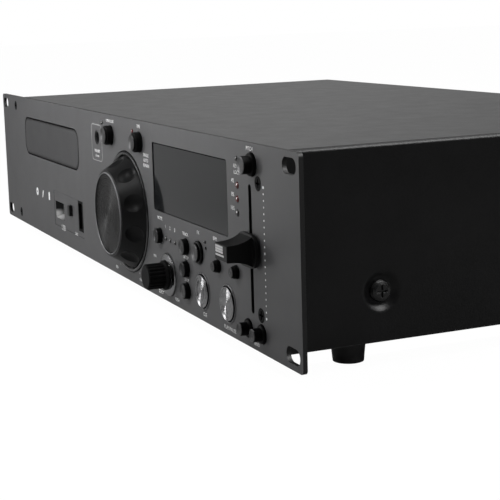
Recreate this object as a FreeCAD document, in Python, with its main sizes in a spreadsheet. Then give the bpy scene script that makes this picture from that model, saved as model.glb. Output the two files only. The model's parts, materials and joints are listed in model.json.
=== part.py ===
"""Single-deck rack-mount disc player for disc jockeys, 19-inch panel two units high.

Frame: origin at the centre of the rack slot pattern on the panel's front face,
+X to the right as the user sees it, +Y towards the rear, +Z up. Millimetres.
"""
import FreeCAD, Part
import math
import os
import re
import Sketcher

Vector = FreeCAD.Vector
Rotation = FreeCAD.Rotation

doc = FreeCAD.newDocument("disc_player")
sheet = doc.addObject("Spreadsheet::Sheet", "Sizes")

# ---------------------------------------------------------------- driving sizes
SIZES = {
    # rack panel
    "panel_width": 482.6, "panel_height": 88.1, "panel_thick": 2.0, "panel_corner": 2.0,
    "slot_span_x": 465.1, "slot_span_z": 76.2, "slot_length": 12.5, "slot_height": 6.8,
    # casing
    "case_width": 433.4, "case_top": 42.4, "case_floor": 42.2, "case_depth": 250.0,
    "cover_thick": 1.0, "base_thick": 1.2, "bend_radius": 2.0, "side_flange_top": 10.0,
    "dimple_radius": 9.6, "dimple_flat": 5.3, "dimple_depth": 1.8, "dimple_y": 49.5, "dimple_back": 45.0,
    "dimple_drop": 20.4, "cover_screw_head": 4.9, "cover_screw_rise": 2.4, "screw_radius": 1.5,
    "lip_height": 13.0, "lip_screw_pitch": 150.0,
    # feet
    "foot_x": 202.0, "foot_y": 41.0, "foot_radius": 7.9,
    "foot_taper": 1.1, "foot_height": 10.3, "foot_bore": 3.6, "foot_bore_depth": 6.0,
    # countersunk screws and the cross in every screw head
    "csk_radius": 3.2, "csk_depth": 1.6, "left_screw_x": 204.4, "left_screw_z": 37.5,
    "cross_half": 0.45, "cross_depth": 1.1,
    # tray door and disc tray
    "tray_x": -118.0, "door_z": 18.8, "door_width": 125.2, "door_height": 23.6,
    "door_corner": 7.6, "door_gap": 0.8, "tray_length": 158.0, "tray_floor": 12.0,
    "tray_thick": 6.0, "disc_y": 79.0, "disc_radius": 60.0, "disc_play": 0.4,
    "disc_recess": 1.8, "inner_recess": 41.0, "tray_slot": 44.0,
    # rack and pinion
    "gear_module": 1.0, "gear_teeth": 20, "gear_thick": 3.0, "rack_height": 3.6,
    "rack_inset": 9.5, "gear_y": 15.0, "pulley_radius": 11.0, "pulley_height": 3.6,
    "motor_offset": 34.0, "motor_radius": 9.0, "motor_pulley": 3.0, "belt_thick": 1.2,
    "belt_height": 1.6, "pin_radius": 1.5, "running_gap": 0.05, "tooth_play": 0.12,
    # loader frame and optics
    "frame_wall": 2.0, "frame_gap": 1.2, "frame_length": 166.0, "frame_start": 6.0,
    "frame_floor": 8.0, "frame_plate": 2.0, "frame_top": 22.0, "ledge_width": 2.7,
    "ledge_thick": 1.5, "seat_gap": 0.3, "leg_radius": 4.0, "bridge_width": 22.0,
    "clamp_radius": 14.0, "hub_radius": 15.0, "hub_cone": 7.3, "spindle_can": 12.0,
    "rod_radius": 1.5, "rod_pitch": 38.0, "rod_z": 0.0, "rod_length": 76.0,
    "rod_start": 88.0, "rod_block": 6.0, "clamp_z": 20.6, "leg_y": 36.0, "leg_pitch": 120.0,
    "leg_reach": 129.0, "motor_y": 15.0, "motor_top": 3.6, "pulley_start": 4.5, "hub_seat": 9.2,
    "spindle_top": 3.8, "rack_teeth": 49, "chip_size": 8.0, "rocker_face": 6.6, "rocker_dish": 1.2,
    "pickup_length": 24.0, "pickup_height": 7.0, "lens_radius": 3.6, "pickup_start": 19.0,
    # media bay
    "media_x": -83.5, "media_z": -22.9, "media_width": 64.0, "media_height": 22.2,
    "media_depth": 6.0, "media_gap": 0.3, "media_wall": 1.6, "insert_gap": 0.15,
    "usb_x": -103.0, "usb_z": -23.6, "usb_width": 12.6, "usb_height": 5.2, "usb_depth": 20.0,
    "usb_mouth": 4.4, "usb_mouth_width": 20.0, "usb_mouth_height": 11.0,
    "card_x": -57.5, "card_z": -21.2, "card_width": 6.4, "card_height": 15.8,
    "card_depth": 20.0, "card_slit": 2.6,
    "media_button_x": -77.3, "media_button_z": -20.2, "media_button_w": 4.2,
    "media_button_h": 6.4, "media_button_rise": 1.8,
    # headphone jack
    "jack_x": -16.9, "jack_z": 29.7, "jack_hole": 4.0, "jack_bore": 3.25, "jack_depth": 31.0,
    "jack_body": 13.0,
    # jog wheel
    "jog_x": 33.0, "jog_z": -6.2, "jog_radius": 29.8, "jog_top_radius": 23.6,
    "jog_rise": 11.2, "jog_wall": 2.2, "jog_back": 0.9, "jog_cap_radius": 21.9,
    "jog_cap_rise": 11.6, "jog_cap_rim": 0.4, "jog_shaft": 4.0,
    "jog_hub": 7.0, "ring_inner": 30.5, "ring_outer": 32.3, "ring_rise": 0.8,
    "ring_seat": 32.8, "bearing_radius": 34.0, "bearing_plate": 2.0, "bearing_boss": 8.5,
    "bearing_depth": 12.0, "finger_count": 10, "dimple_ball": 8.0,
    "dimple_sink": 1.9,
    # display
    "display_x": 122.6, "display_z": 17.6, "display_width": 95.2, "display_height": 34.2,
    "display_corner": 1.5, "window_margin": 3.0, "window_thick": 2.0,
    # control board behind the panel
    "board_y": 16.0, "board_thick": 1.6, "board_left": -9.0, "board_right": 209.0,
    "board_bottom": -38.0, "board_top": 38.5, "switch_size": 6.0, "switch_depth": 3.9,
    "post_radius": 2.2,
    # buttons
    "button_play": 0.35, "button_flange": 0.9, "button_flange_thick": 1.0, "button_stem": 1.8,
    "switch_gap": 0.6, "button_chamfer": 0.4, "bezel_radius": 8.75,
    "bezel_width": 0.55, "bezel_rise": 0.4, "small_bezel": 5.5, "small_bezel_width": 1.0,
    "small_bezel_rise": 1.3,
    # encoder
    "encoder_x": 92.5, "encoder_z": -30.0, "encoder_radius": 6.4, "encoder_rise": 12.4,
    "encoder_flange": 7.4, "encoder_collar": 2.8, "encoder_skirt": 10.8, "skirt_thick": 0.9, "skirt_gap": 0.5, "encoder_shaft": 3.0,
    "encoder_bush": 3.9, "encoder_body": 12.0, "flute_count": 20, "flute_radius": 0.7,
    # pitch fader
    "fader_x": 194.4, "fader_z": -1.0, "fader_slot": 3.0, "fader_slot_length": 55.2,
    "fader_travel": 45.0, "fader_screw_x": 202.8, "fader_screw_z": 27.8,
    "fader_width": 14.0, "fader_front": 3.6, "fader_depth": 10.0, "fader_wall": 1.2,
    "stem_width": 1.2, "stem_height": 4.0, "carriage": 7.0, "cap_gap": 0.8,
    "cap_width": 20.0, "cap_height": 14.5, "cap_flange": 1.6, "cap_corner": 6.0,
    "cap_rise": 14.0, "cap_tip": 7.2, "cap_body": 12.6,
    # electronics and rear
    "rear_thick": 1.2, "main_x": 117.0, "main_back": 74.0, "main_width": 176.0,
    "main_depth": 112.0, "board_z": -33.6, "supply_x": -12.0, "supply_back": 77.0,
    "supply_width": 60.0, "supply_depth": 130.0, "spacer_radius": 3.0,
    "inlet_x": -165.0, "inlet_width": 27.0, "inlet_height": 19.5, "inlet_depth": 26.0,
    "inlet_cavity_w": 23.6, "inlet_cavity_h": 15.8, "inlet_cavity_d": 15.0,
    "switch_x": -112.0, "power_width": 13.0, "power_height": 19.0, "power_depth": 16.0,
    "rocker_radius": 7.6, "rocker_width": 9.6, "rocker_tilt": 9.0,
    "socket_x": 118.0, "socket_pitch": 18.0, "socket_z": 9.0, "socket_radius": 4.15,
    "socket_length": 8.5, "mini_x": 165.0, "mini_radius": 3.0,
    "vent_x": -34.0, "vent_pitch": 6.0, "vent_width": 2.0, "vent_height": 25.0, "vent_count": 9,
}
# plain round buttons: name, x, z, face radius, rise above the panel
BUTTONS = (
    ("key_button_1", 82.4, -11.8, 3.8, 2.8),
    ("key_button_2", 117.9, -11.9, 3.8, 2.8),
    ("key_button_3", 117.9, -22.7, 3.8, 2.8),
    ("key_button_4", 117.9, -33.4, 3.8, 2.8),
    ("ring_button", 134.3, -12.0, 4.2, 2.6),
    ("cue_button", 137.6, -29.8, 7.7, 1.1),
    ("play_button", 167.5, -29.8, 7.7, 1.1),
)
# buttons with a wider collar at the foot: name, x, z, collar radius, rise, face radius, collar rise
COLLARED = (
    ("open_close_button", 8.3, 33.0, 5.3, 4.6, 4.5, 3.3),
    ("time_button", 55.7, 33.0, 5.2, 4.5, 4.4, 3.2),
    ("upper_button", 197.0, 35.2, 4.8, 5.3, 3.8, 1.4),
    ("small_button_1", 157.4, -14.5, 2.8, 3.1, 2.4, 1.8),
    ("small_button_2", 178.0, -13.6, 2.9, 3.1, 2.45, 1.8),
    ("bend_minus_button", 189.6, -36.0, 4.0, 4.8, 2.9, 1.0),
    ("bend_plus_button", 203.2, -35.7, 4.0, 4.9, 2.9, 1.0),
)
# rings round buttons: name, outer radius, width, rise
BEZELS = (
    ("cue_button", "bezel_radius", "bezel_width", "bezel_rise"),
    ("play_button", "bezel_radius", "bezel_width", "bezel_rise"),
    ("ring_button", "small_bezel", "small_bezel_width", "small_bezel_rise"),
)
# indicator lamps: name, x, z, radius
LAMPS = (
    ("lamp_open", -6.2, 38.9, 1.3), ("lamp_time", 45.8, 38.0, 1.1),
    ("lamp_mode_1", 91.0, -12.0, 1.1), ("lamp_mode_2", 97.0, -12.2, 1.1),
    ("lamp_mode_3", 103.4, -12.3, 1.1), ("lamp_upper", 181.5, 36.2, 1.2),
    ("lamp_red_1", 181.6, 24.7, 1.6), ("lamp_red_2", 181.2, 18.7, 1.6),
    ("lamp_red_3", 181.1, 12.7, 1.6), ("lamp_ring_1", 142.4, -5.9, 0.8),
    ("lamp_ring_2", 143.2, -8.6, 0.8),
)
# studs on the back of the panel that carry the control board: x, z
POSTS = ((-5.0, 20.0), (-5.0, -35.5), (66.6, 14.0), (153.0, -36.0), (206.5, 20.0))


def fill_sheet():
    """Write every driving size into the sheet, one aliased cell each."""
    rows = dict(SIZES)
    for name, x, z, radius, rise, *collar in BUTTONS + COLLARED:
        rows.update({name + "_x": x, name + "_z": z, name + "_radius": radius, name + "_rise": rise})
        rows.update(zip((name + "_cap", name + "_collar"), collar))
    for name, x, z, radius in LAMPS:
        rows.update({name + "_x": x, name + "_z": z, name + "_radius": radius})
    for number, (x, z) in enumerate(POSTS, 1):
        rows.update({f"post_{number}_x": x, f"post_{number}_z": z})
    for row, (alias, size) in enumerate(rows.items(), 1):
        sheet.set(f"A{row}", alias)
        sheet.set(f"B{row}", str(size))
        sheet.setAlias(f"B{row}", alias)
    doc.recompute()


fill_sheet()


# ---------------------------------------------------------------- helpers
def cell(text):
    """Return an expression with the sheet's name before each alias."""
    return re.sub(r"[A-Za-z_]\w*", lambda word: "Sizes." + word.group(0), str(text))


def value(text):
    """Return the number that an expression on the sheet gives."""
    return float(sheet.evalExpression(cell(text)))


def bind(obj, **links):
    """Tie properties to the sheet; a double underscore stands for a dot."""
    for name, text in links.items():
        obj.setExpression(name.replace("__", "."), cell(text))
    return obj


def put(obj, x=0, y=0, z=0, turn=None):
    """Place an object at sheet expressions, turned by a fixed rotation."""
    if turn is not None:
        obj.Placement = FreeCAD.Placement(Vector(), turn)
    return bind(obj, Placement__Base__x=x, Placement__Base__y=y, Placement__Base__z=z)


TO_BACK = Rotation(Vector(1, 0, 0), -90)
TO_RIGHT = Rotation(Vector(0, 1, 0), 90)
TO_LEFT = Rotation(Vector(0, 1, 0), -90)
TO_TOP = Rotation(Vector(1, 0, 0), 90)
UPWARD = Rotation()


def box(name, x0, x1, y0, y1, z0, z1):
    """A block between six sheet expressions."""
    obj = doc.addObject("Part::Box", name)
    bind(obj, Length=f"({x1}) - ({x0})", Width=f"({y1}) - ({y0})", Height=f"({z1}) - ({z0})")
    return put(obj, x0, y0, z0)


def rod(name, radius, length, x, y, z, turn=TO_BACK):
    """A cylinder that starts at a point and runs along the turned Z axis."""
    obj = doc.addObject("Part::Cylinder", name)
    bind(obj, Radius=radius, Height=length)
    return put(obj, x, y, z, turn)


def cone(name, start, end, length, x, y, z, turn=TO_BACK):
    """A cone from radius start to radius end along the turned Z axis."""
    obj = doc.addObject("Part::Cone", name)
    bind(obj, Radius1=start, Radius2=end, Height=length)
    return put(obj, x, y, z, turn)


def join(name, pieces):
    """Fuse pieces into one solid."""
    obj = doc.addObject("Part::MultiFuse", name)
    obj.Shapes = pieces
    obj.Refine = True
    return obj


def cut(name, base, tools):
    """Take tools away from a base."""
    tool = tools[0] if len(tools) == 1 else join(name + "_tools", tools)
    obj = doc.addObject("Part::Cut", name)
    obj.Base = base
    obj.Tool = tool
    return obj


def group(name, pieces):
    """Keep separate solids together in one node."""
    obj = doc.addObject("Part::Compound", name)
    obj.Links = pieces
    return obj


class Profile:
    """A sketch whose geometry and constraints are gathered, then added at once."""

    def __init__(self, body, name, role, offset=0):
        self.sketch = body.newObject("Sketcher::SketchObject", name)
        plane = [item for item in body.Origin.OriginFeatures if item.Role == role][0]
        self.sketch.AttachmentSupport = [(plane, "")]
        self.sketch.MapMode = "FlatFace"
        self.sketch.setExpression("AttachmentOffset.Base.z", cell(offset))
        self.shapes = []
        self.rules = []
        self.links = []

    def tie(self, kind, *place, text):
        """Add a measured constraint whose value is a sheet expression."""
        self.links.append((len(self.rules), cell(text)))
        self.rules.append(Sketcher.Constraint(kind, *place, value(text)))

    def circle(self, x, y, radius):
        index = len(self.shapes)
        centre = Vector(value(x), value(y), 0)
        self.shapes.append(Part.Circle(centre, Vector(0, 0, 1), value(radius)))
        self.tie("Radius", index, text=radius)
        self.tie("DistanceX", -1, 1, index, 3, text=x)
        self.tie("DistanceY", -1, 1, index, 3, text=y)

    def polygon(self, *points):
        first = len(self.shapes)
        spots = [Vector(value(x), value(y), 0) for x, y in points]
        count = len(spots)
        for index, spot in enumerate(spots):
            self.shapes.append(Part.LineSegment(spot, spots[(index + 1) % count]))
            following = first + (index + 1) % count
            self.rules.append(Sketcher.Constraint("Coincident", first + index, 2, following, 1))
        for index, (x, y) in enumerate(points):
            self.tie("DistanceX", -1, 1, first + index, 1, text=x)
            self.tie("DistanceY", -1, 1, first + index, 1, text=y)

    def rectangle(self, x0, x1, y0, y1):
        self.polygon((x0, y0), (x1, y0), (x1, y1), (x0, y1))

    def rounded(self, x0, x1, y0, y1, radius):
        """A rectangle with four equal corner arcs."""
        first = len(self.shapes)
        left, right, low, high, turn = (value(text) for text in (x0, x1, y0, y1, radius))
        ends = (((left + turn, low), (right - turn, low)), ((right, low + turn), (right, high - turn)),
                ((right - turn, high), (left + turn, high)), ((left, high - turn), (left, low + turn)))
        corners = ((right - turn, low + turn), (right - turn, high - turn),
                   (left + turn, high - turn), (left + turn, low + turn))
        for side in range(4):
            start, stop = ends[side]
            self.shapes.append(Part.LineSegment(Vector(*start, 0), Vector(*stop, 0)))
            circle = Part.Circle(Vector(*corners[side], 0), Vector(0, 0, 1), turn)
            angle = math.radians(90 * (side - 1))
            self.shapes.append(Part.ArcOfCircle(circle, angle, angle + math.pi / 2))
        for side in range(4):
            line = first + 2 * side
            following = first + (2 * side + 2) % 8
            self.rules.append(Sketcher.Constraint("Tangent", line, 2, line + 1, 1))
            self.rules.append(Sketcher.Constraint("Tangent", line + 1, 2, following, 1))
            level = "Vertical" if side % 2 else "Horizontal"
            self.rules.append(Sketcher.Constraint(level, line))
        for arc in (3, 5, 7):
            self.rules.append(Sketcher.Constraint("Equal", first + 1, first + arc))
        self.tie("Radius", first + 1, text=radius)
        self.tie("DistanceX", -1, 1, first + 6, 1, text=x0)
        self.tie("DistanceX", -1, 1, first + 2, 1, text=x1)
        self.tie("DistanceY", -1, 1, first, 1, text=y0)
        self.tie("DistanceY", -1, 1, first + 4, 1, text=y1)

    def done(self):
        self.sketch.addGeometry(self.shapes, False)
        self.sketch.addConstraint(self.rules)
        for index, text in self.links:
            self.sketch.setExpression(f"Constraints[{index}]", text)
        return self.sketch


def new_body(name):
    """A PartDesign body whose label names its file."""
    return doc.addObject("PartDesign::Body", name)


def pad(body, profile, length, name):
    """Raise a profile; on the XZ plane it grows towards the rear."""
    feature = body.newObject("PartDesign::Pad", name)
    feature.Profile = profile.done()
    feature.Reversed = profile.sketch.AttachmentSupport[0][0].Role == "XZ_Plane"
    return bind(feature, Length=length)


def pocket(body, profile, name, length=None):
    """Sink a profile; on the XZ plane it cuts towards the rear."""
    feature = body.newObject("PartDesign::Pocket", name)
    feature.Profile = profile.done()
    if length is None:
        feature.Type = "ThroughAll"
        return feature
    return bind(feature, Length=length)


def turned(body, profile, name):
    """Revolve a profile drawn on the XY plane about the body's own Y axis."""
    feature = body.newObject("PartDesign::Revolution", name)
    feature.Profile = profile.done()
    feature.ReferenceAxis = (profile.sketch, ["V_Axis"])
    feature.Angle = 360
    return feature


def turned_part(name, points, x, z):
    """A turned piece on an axis along Y, from (radius, y) points."""
    body = new_body(name)
    profile = Profile(body, name + "_profile", "XY_Plane")
    profile.polygon(*points)
    turned(body, profile, name + "_turn")
    return put(body, x, 0, z)


PARTS = {}


def node(name, obj):
    """Register an object as a sub-part under its node name."""
    obj.Label = name
    PARTS[name] = obj
    return obj


def add_obround(profile, x, y, length, height):
    """Add a slot with round ends, long along the sketch's X axis."""
    first = len(profile.shapes)
    reach = f"({length} - {height}) / 2"
    left, right, low, high = (value(text) for text in (f"{x} - {reach}", f"{x} + {reach}",
                                                       f"{y} - {height} / 2", f"{y} + {height} / 2"))
    middle = (low + high) / 2
    bend = (high - low) / 2
    for centre, start, ends in ((right, -90, ((left, low), (right, low))),
                                (left, 90, ((right, high), (left, high)))):
        profile.shapes.append(Part.LineSegment(Vector(*ends[0], 0), Vector(*ends[1], 0)))
        circle = Part.Circle(Vector(centre, middle, 0), Vector(0, 0, 1), bend)
        angle = math.radians(start)
        profile.shapes.append(Part.ArcOfCircle(circle, angle, angle + math.pi))
    for edge in range(4):
        following = first + (edge + 1) % 4
        profile.rules.append(Sketcher.Constraint("Tangent", first + edge, 2, following, 1))
    profile.rules.append(Sketcher.Constraint("Horizontal", first))
    profile.rules.append(Sketcher.Constraint("Equal", first + 1, first + 3))
    profile.tie("Radius", first + 1, text=f"{height} / 2")
    profile.tie("DistanceX", -1, 1, first + 1, 3, text=f"{x} + {reach}")
    profile.tie("DistanceX", -1, 1, first + 3, 3, text=f"{x} - {reach}")
    profile.tie("DistanceY", -1, 1, first + 1, 3, text=y)


# ---------------------------------------------------------------- shared places
DISPLAY = ("display_x - display_width / 2", "display_x + display_width / 2",
           "display_z - display_height / 2", "display_z + display_height / 2")
MEDIA = ("media_x - media_width / 2", "media_x + media_width / 2",
         "media_z - media_height / 2", "media_z + media_height / 2")
DOOR = ("tray_x - door_width / 2", "tray_x + door_width / 2",
        "door_z - door_height / 2", "door_z + door_height / 2")
COUNTERSUNK = (("-left_screw_x", "left_screw_z"), ("-left_screw_x", "-left_screw_z"),
               ("fader_screw_x", "fader_screw_z"), ("fader_screw_x", "-fader_screw_z"))


def grown(edges, margin):
    """Return the four edges of a rectangle moved outwards."""
    x0, x1, z0, z1 = edges
    return f"{x0} - ({margin})", f"{x1} + ({margin})", f"{z0} - ({margin})", f"{z1} + ({margin})"


def button_hole(name, radius):
    """Return the hole radius that a button or its bezel passes through."""
    for button, bezel, *_ in BEZELS:
        if name == button:
            return f"{bezel} + running_gap"
    return f"{radius} + button_play"


# ---------------------------------------------------------------- casing
def front_panel():
    body = new_body("panel_blank")
    outline = Profile(body, "panel_outline", "XZ_Plane")
    outline.rounded("-panel_width / 2", "panel_width / 2", "-panel_height / 2",
                    "panel_height / 2", "panel_corner")
    pad(body, outline, "panel_thick", "panel_plate")
    slots = Profile(body, "rack_slots", "XZ_Plane")
    for side in ("", "-"):
        for level in ("", "-"):
            add_obround(slots, f"{side}slot_span_x / 2", f"{level}slot_span_z / 2",
                        "slot_length", "slot_height")
    pocket(body, slots, "rack_slot_cuts")
    windows = Profile(body, "panel_windows", "XZ_Plane")
    windows.rounded(*grown(DOOR, "door_gap"), "door_corner + door_gap")
    windows.rounded(*DISPLAY, "display_corner")
    windows.rectangle(*MEDIA)
    windows.rounded("fader_x - fader_slot / 2", "fader_x + fader_slot / 2",
                    "fader_z - fader_slot_length / 2", "fader_z + fader_slot_length / 2",
                    "fader_slot * 0.49")
    pocket(body, windows, "panel_window_cuts")
    holes = Profile(body, "panel_holes", "XZ_Plane")
    for name, *_ in BUTTONS + COLLARED:
        holes.circle(name + "_x", name + "_z", button_hole(name, name + "_radius"))
    for name, *_ in LAMPS:
        holes.circle(name + "_x", name + "_z", name + "_radius + running_gap")
    for x, z in COUNTERSUNK:
        holes.circle(x, z, "screw_radius + running_gap")
    holes.circle("jack_x", "jack_z", "jack_hole")
    holes.circle("jog_x", "jog_z", "ring_seat")
    holes.circle("encoder_x", "encoder_z", "encoder_bush + running_gap")
    pocket(body, holes, "panel_hole_cuts")
    sinks = [cone(f"sink_{number}", "csk_radius + running_gap", "screw_radius + running_gap",
                  "csk_depth", x, 0, z) for number, (x, z) in enumerate(COUNTERSUNK)]
    drilled = cut("panel_drilled", body, sinks)
    posts = [rod(f"panel_post_{number}", "post_radius", "board_y - panel_thick",
                 f"post_{number}_x", "panel_thick", f"post_{number}_z")
             for number in range(1, len(POSTS) + 1)]
    return node("front_panel", join("panel_with_posts", [drilled] + posts))


def side_dimples():
    """List the side screws' places: side sign and y."""
    return [(side, y) for side in (1, -1) for y in ("dimple_y", "case_depth - dimple_back")]


def dimple(name, side, y, start, margin, steps=8):
    """A turned dish whose wall runs in a smooth S from a wide rim to a flat floor."""
    points = [(0, 0)]
    for step in range(steps + 1):
        fall = (1 - math.cos(math.pi * step / steps)) / 2
        points.append((f"dimple_radius + {margin} - (dimple_radius - dimple_flat) * {step / steps:.4f}",
                       f"dimple_depth * {fall:.4f}"))
    points.append((0, "dimple_depth"))
    dish = turned_part(name, points, 0, 0)
    return put(dish, f"{side} * ({start})", y, "-dimple_drop", Rotation(Vector(0, 0, 1), 90 * side))


def top_cover():
    body = new_body("cover_shell")
    wall = "case_width / 2"
    open_depth = "case_floor + bend_radius * 2"
    skin = Profile(body, "cover_outside", "XZ_Plane", "-panel_thick")
    skin.rounded(f"-{wall}", wall, f"-({open_depth})", "case_top", "bend_radius")
    pad(body, skin, "case_depth - panel_thick", "cover_block")
    inside = Profile(body, "cover_inside", "XZ_Plane", "-panel_thick")
    inside.rounded(f"cover_thick - {wall}", f"{wall} - cover_thick", f"-({open_depth}) + cover_thick",
                   "case_top - cover_thick", "bend_radius - cover_thick")
    pocket(body, inside, "cover_hollow", "case_depth - panel_thick - cover_thick")
    trim = Profile(body, "cover_trim", "XZ_Plane", "-panel_thick")
    trim.rectangle(f"-{wall} - cover_thick", f"{wall} + cover_thick",
                   f"-({open_depth}) - cover_thick", "-case_floor")
    pocket(body, trim, "cover_open_bottom")
    rear = Profile(body, "cover_rear", "XZ_Plane", "-(case_depth - cover_thick * 2)")
    rear.rectangle(f"cover_thick - {wall}", f"{wall} - cover_thick", "-case_floor - cover_thick",
                   "case_top - lip_height")
    pocket(body, rear, "cover_rear_opening")
    bumps = []
    dishes = []
    drop = "-dimple_drop"
    for number, (side, y) in enumerate(side_dimples()):
        turn = TO_LEFT if side > 0 else TO_RIGHT
        bumps.append(dimple(f"bump_{number}", side, y, "case_width / 2 - cover_thick", "0.3 * cover_thick"))
        dishes.append(dimple(f"dish_{number}", side, y, "case_width / 2", "0"))
        dishes.append(rod(f"cover_hole_{number}", "screw_radius + running_gap", "case_floor",
                          f"{side} * case_width / 2", y, drop, turn))
    for number in (-1, 0, 1):
        dishes.append(rod(f"lip_hole_{number + 1}", "screw_radius + running_gap", "case_floor",
                          f"{number} * lip_screw_pitch", "case_depth - case_floor / 2",
                          "case_top - lip_height / 2"))
    formed = join("cover_formed", [body] + bumps)
    return node("top_cover", cut("cover_pierced", formed, dishes))


def chassis_base():
    body = new_body("base_shell")
    wall = "(case_width / 2 - cover_thick - dimple_depth)"
    outer = Profile(body, "base_outside", "XZ_Plane", "-panel_thick")
    outer.rounded(f"-{wall}", wall, "-case_floor", "case_top", "bend_radius")
    pad(body, outer, "case_depth - panel_thick - cover_thick - rear_thick - running_gap", "base_block")
    inner = Profile(body, "base_inside", "XZ_Plane", "-panel_thick")
    inner.rounded(f"base_thick - {wall}", f"{wall} - base_thick", "base_thick - case_floor",
                  "case_top + case_floor", "bend_radius - base_thick / 2")
    pocket(body, inner, "base_hollow")
    trim = Profile(body, "base_trim", "XZ_Plane", "-panel_thick")
    trim.rectangle(f"-{wall} - base_thick", f"{wall} + base_thick", "-side_flange_top",
                   "case_top + base_thick")
    pocket(body, trim, "base_open_top")
    front = Profile(body, "base_front", "XZ_Plane", "-panel_thick")
    front.rectangle(f"base_thick / 2 - {wall}", f"{wall} - base_thick / 2",
                    "base_thick / 2 - case_floor", "case_top - cover_thick")
    pad(body, front, "base_thick", "base_front_wall")
    windows = Profile(body, "base_windows", "XZ_Plane", "-panel_thick")
    windows.rounded(*grown(DOOR, "door_gap * 2"), "door_corner")
    windows.rectangle(*grown(MEDIA, "frame_wall"))
    windows.rectangle("jack_x - jack_body * 1.25", "board_right", "base_thick - case_floor",
                      "case_top")
    pocket(body, windows, "base_window_cuts", "base_thick")
    holes = []
    for number, x, y in feet_places():
        holes.append(rod(f"base_foot_hole_{number}", "screw_radius + running_gap", "case_floor",
                         x, y, "-case_floor - case_floor / 2", UPWARD))
    for number, (side, y) in enumerate(side_dimples()):
        turn = TO_LEFT if side > 0 else TO_RIGHT
        holes.append(rod(f"base_side_hole_{number}", "screw_radius + running_gap", "case_floor",
                         f"{side} * case_width / 2", y, "-dimple_drop", turn))
    for number in (0, 1):
        holes.append(rod(f"base_front_hole_{number}", "screw_radius + running_gap", "case_floor",
                         *(COUNTERSUNK[number][0], 0, COUNTERSUNK[number][1])))
    drilled = cut("base_drilled", body, holes)
    spacers = [rod(f"base_spacer_{number}", "spacer_radius", "board_z - base_thick + case_floor",
                   x, y, "base_thick - case_floor", UPWARD)
               for number, (x, y) in enumerate(spacer_places())]
    return node("chassis_base", join("base_with_spacers", [drilled] + spacers))


def feet_places():
    """List the feet: number, x and y."""
    places = []
    for side in ("-", ""):
        for y in ("foot_y", "case_depth - foot_y"):
            places.append((len(places), f"{side}foot_x", y))
    return places


def spacer_places():
    """List the spacers under the two boards on the floor: x and y."""
    places = []
    for board in ("main", "supply"):
        for side in ("-", "+"):
            for end in ("-", "+"):
                places.append((f"{board}_x {side} ({board}_width / 2 - spacer_radius * 2)",
                               f"case_depth - {board}_back {end} ({board}_depth / 2 - spacer_radius * 2)"))
    return places


def rear_panel():
    edge = "(case_width / 2 - cover_thick - seat_gap)"
    y0 = "case_depth - cover_thick - rear_thick"
    plate = box("rear_plate", f"-{edge}", edge, y0, "case_depth - cover_thick",
                "base_thick - case_floor", "case_top - cover_thick - seat_gap")
    foot = box("rear_flange", f"-{edge} + base_thick * 5", f"{edge} - base_thick * 5",
               "case_depth - lip_height", y0, "base_thick - case_floor", "base_thick * 2 - case_floor")
    openings = [
        box("inlet_cut", "inlet_x - inlet_width / 2", "inlet_x + inlet_width / 2",
            f"{y0} - rear_thick", "case_depth", "-inlet_height / 2", "inlet_height / 2"),
        box("power_cut", "switch_x - power_width / 2", "switch_x + power_width / 2",
            f"{y0} - rear_thick", "case_depth", "-power_height / 2", "power_height / 2"),
    ]
    for number, (x, z) in enumerate(socket_places()):
        openings.append(rod(f"socket_cut_{number}", "socket_radius + running_gap", "lip_height",
                            x, "case_depth - lip_height / 2", z))
    for number in (0, 1):
        openings.append(rod(f"mini_cut_{number}", "mini_radius + running_gap", "lip_height",
                            f"mini_x + {number} * socket_pitch", "case_depth - lip_height / 2", 0))
    for number in (-1, 0, 1):
        openings.append(rod(f"rear_screw_cut_{number + 1}", "screw_radius + running_gap", "lip_height",
                            f"{number} * lip_screw_pitch", "case_depth - lip_height / 2",
                            "case_top - lip_height / 2"))
    for column in range(SIZES["vent_count"]):
        left = f"vent_x + {column} * vent_pitch - vent_width / 2"
        openings.append(box(f"vent_{column}", left, f"{left} + vent_width", f"{y0} - rear_thick", "case_depth",
                            "-vent_height / 2", "vent_height / 2"))
    return node("rear_panel", cut("rear_pierced", join("rear_folded", [plate, foot]), openings))


def socket_places():
    """List the phono sockets: x and z."""
    return [(f"socket_x + {column} * socket_pitch", f"{level} * socket_z")
            for column in (0, 1) for level in (-1, 1)]


def rubber_feet():
    feet = []
    for number, x, y in feet_places():
        solid = cone(f"foot_{number}", "foot_radius - foot_taper", "foot_radius", "foot_height",
                     x, y, "-case_floor - foot_height", UPWARD)
        well = rod(f"foot_well_{number}", "foot_bore", "foot_bore_depth + foot_height", x, y,
                   "-case_floor - foot_height * 2", UPWARD)
        bore = rod(f"foot_bore_{number}", "screw_radius + running_gap", "foot_height * 2", x, y,
                   "-case_floor - foot_height * 1.5", UPWARD)
        feet.append(cut(f"foot_bored_{number}", solid, [well, bore]))
    return node("rubber_feet", group("feet_group", feet))


def foot_screws():
    screws = []
    for number, x, y in feet_places():
        screws.append(pan_screw(f"foot_screw_{number}", x, y, "-case_floor - foot_height + foot_bore_depth",
                                TO_TOP, "foot_height - foot_bore_depth + base_thick * 3",
                                "screw_radius * 1.9", "screw_radius * 1.3"))
    return node("foot_screws", group("foot_screw_group", screws))


def cross_recess(body, face, reach):
    """Sink a cross for the driver into a screw head whose face lies at a place on the Y axis."""
    arm = "cross_half"
    cross = Profile(body, body.Name + "_cross", "XZ_Plane", f"-({face})")
    cross.polygon((reach, f"-{arm}"), (reach, arm), (arm, arm), (arm, reach), (f"-{arm}", reach),
                  (f"-{arm}", arm), (f"-({reach})", arm), (f"-({reach})", f"-{arm}"), (f"-{arm}", f"-{arm}"),
                  (f"-{arm}", f"-({reach})"), (arm, f"-({reach})"), (arm, f"-{arm}"))
    pocket(body, cross, body.Name + "_cross_cut", "cross_depth")


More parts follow.
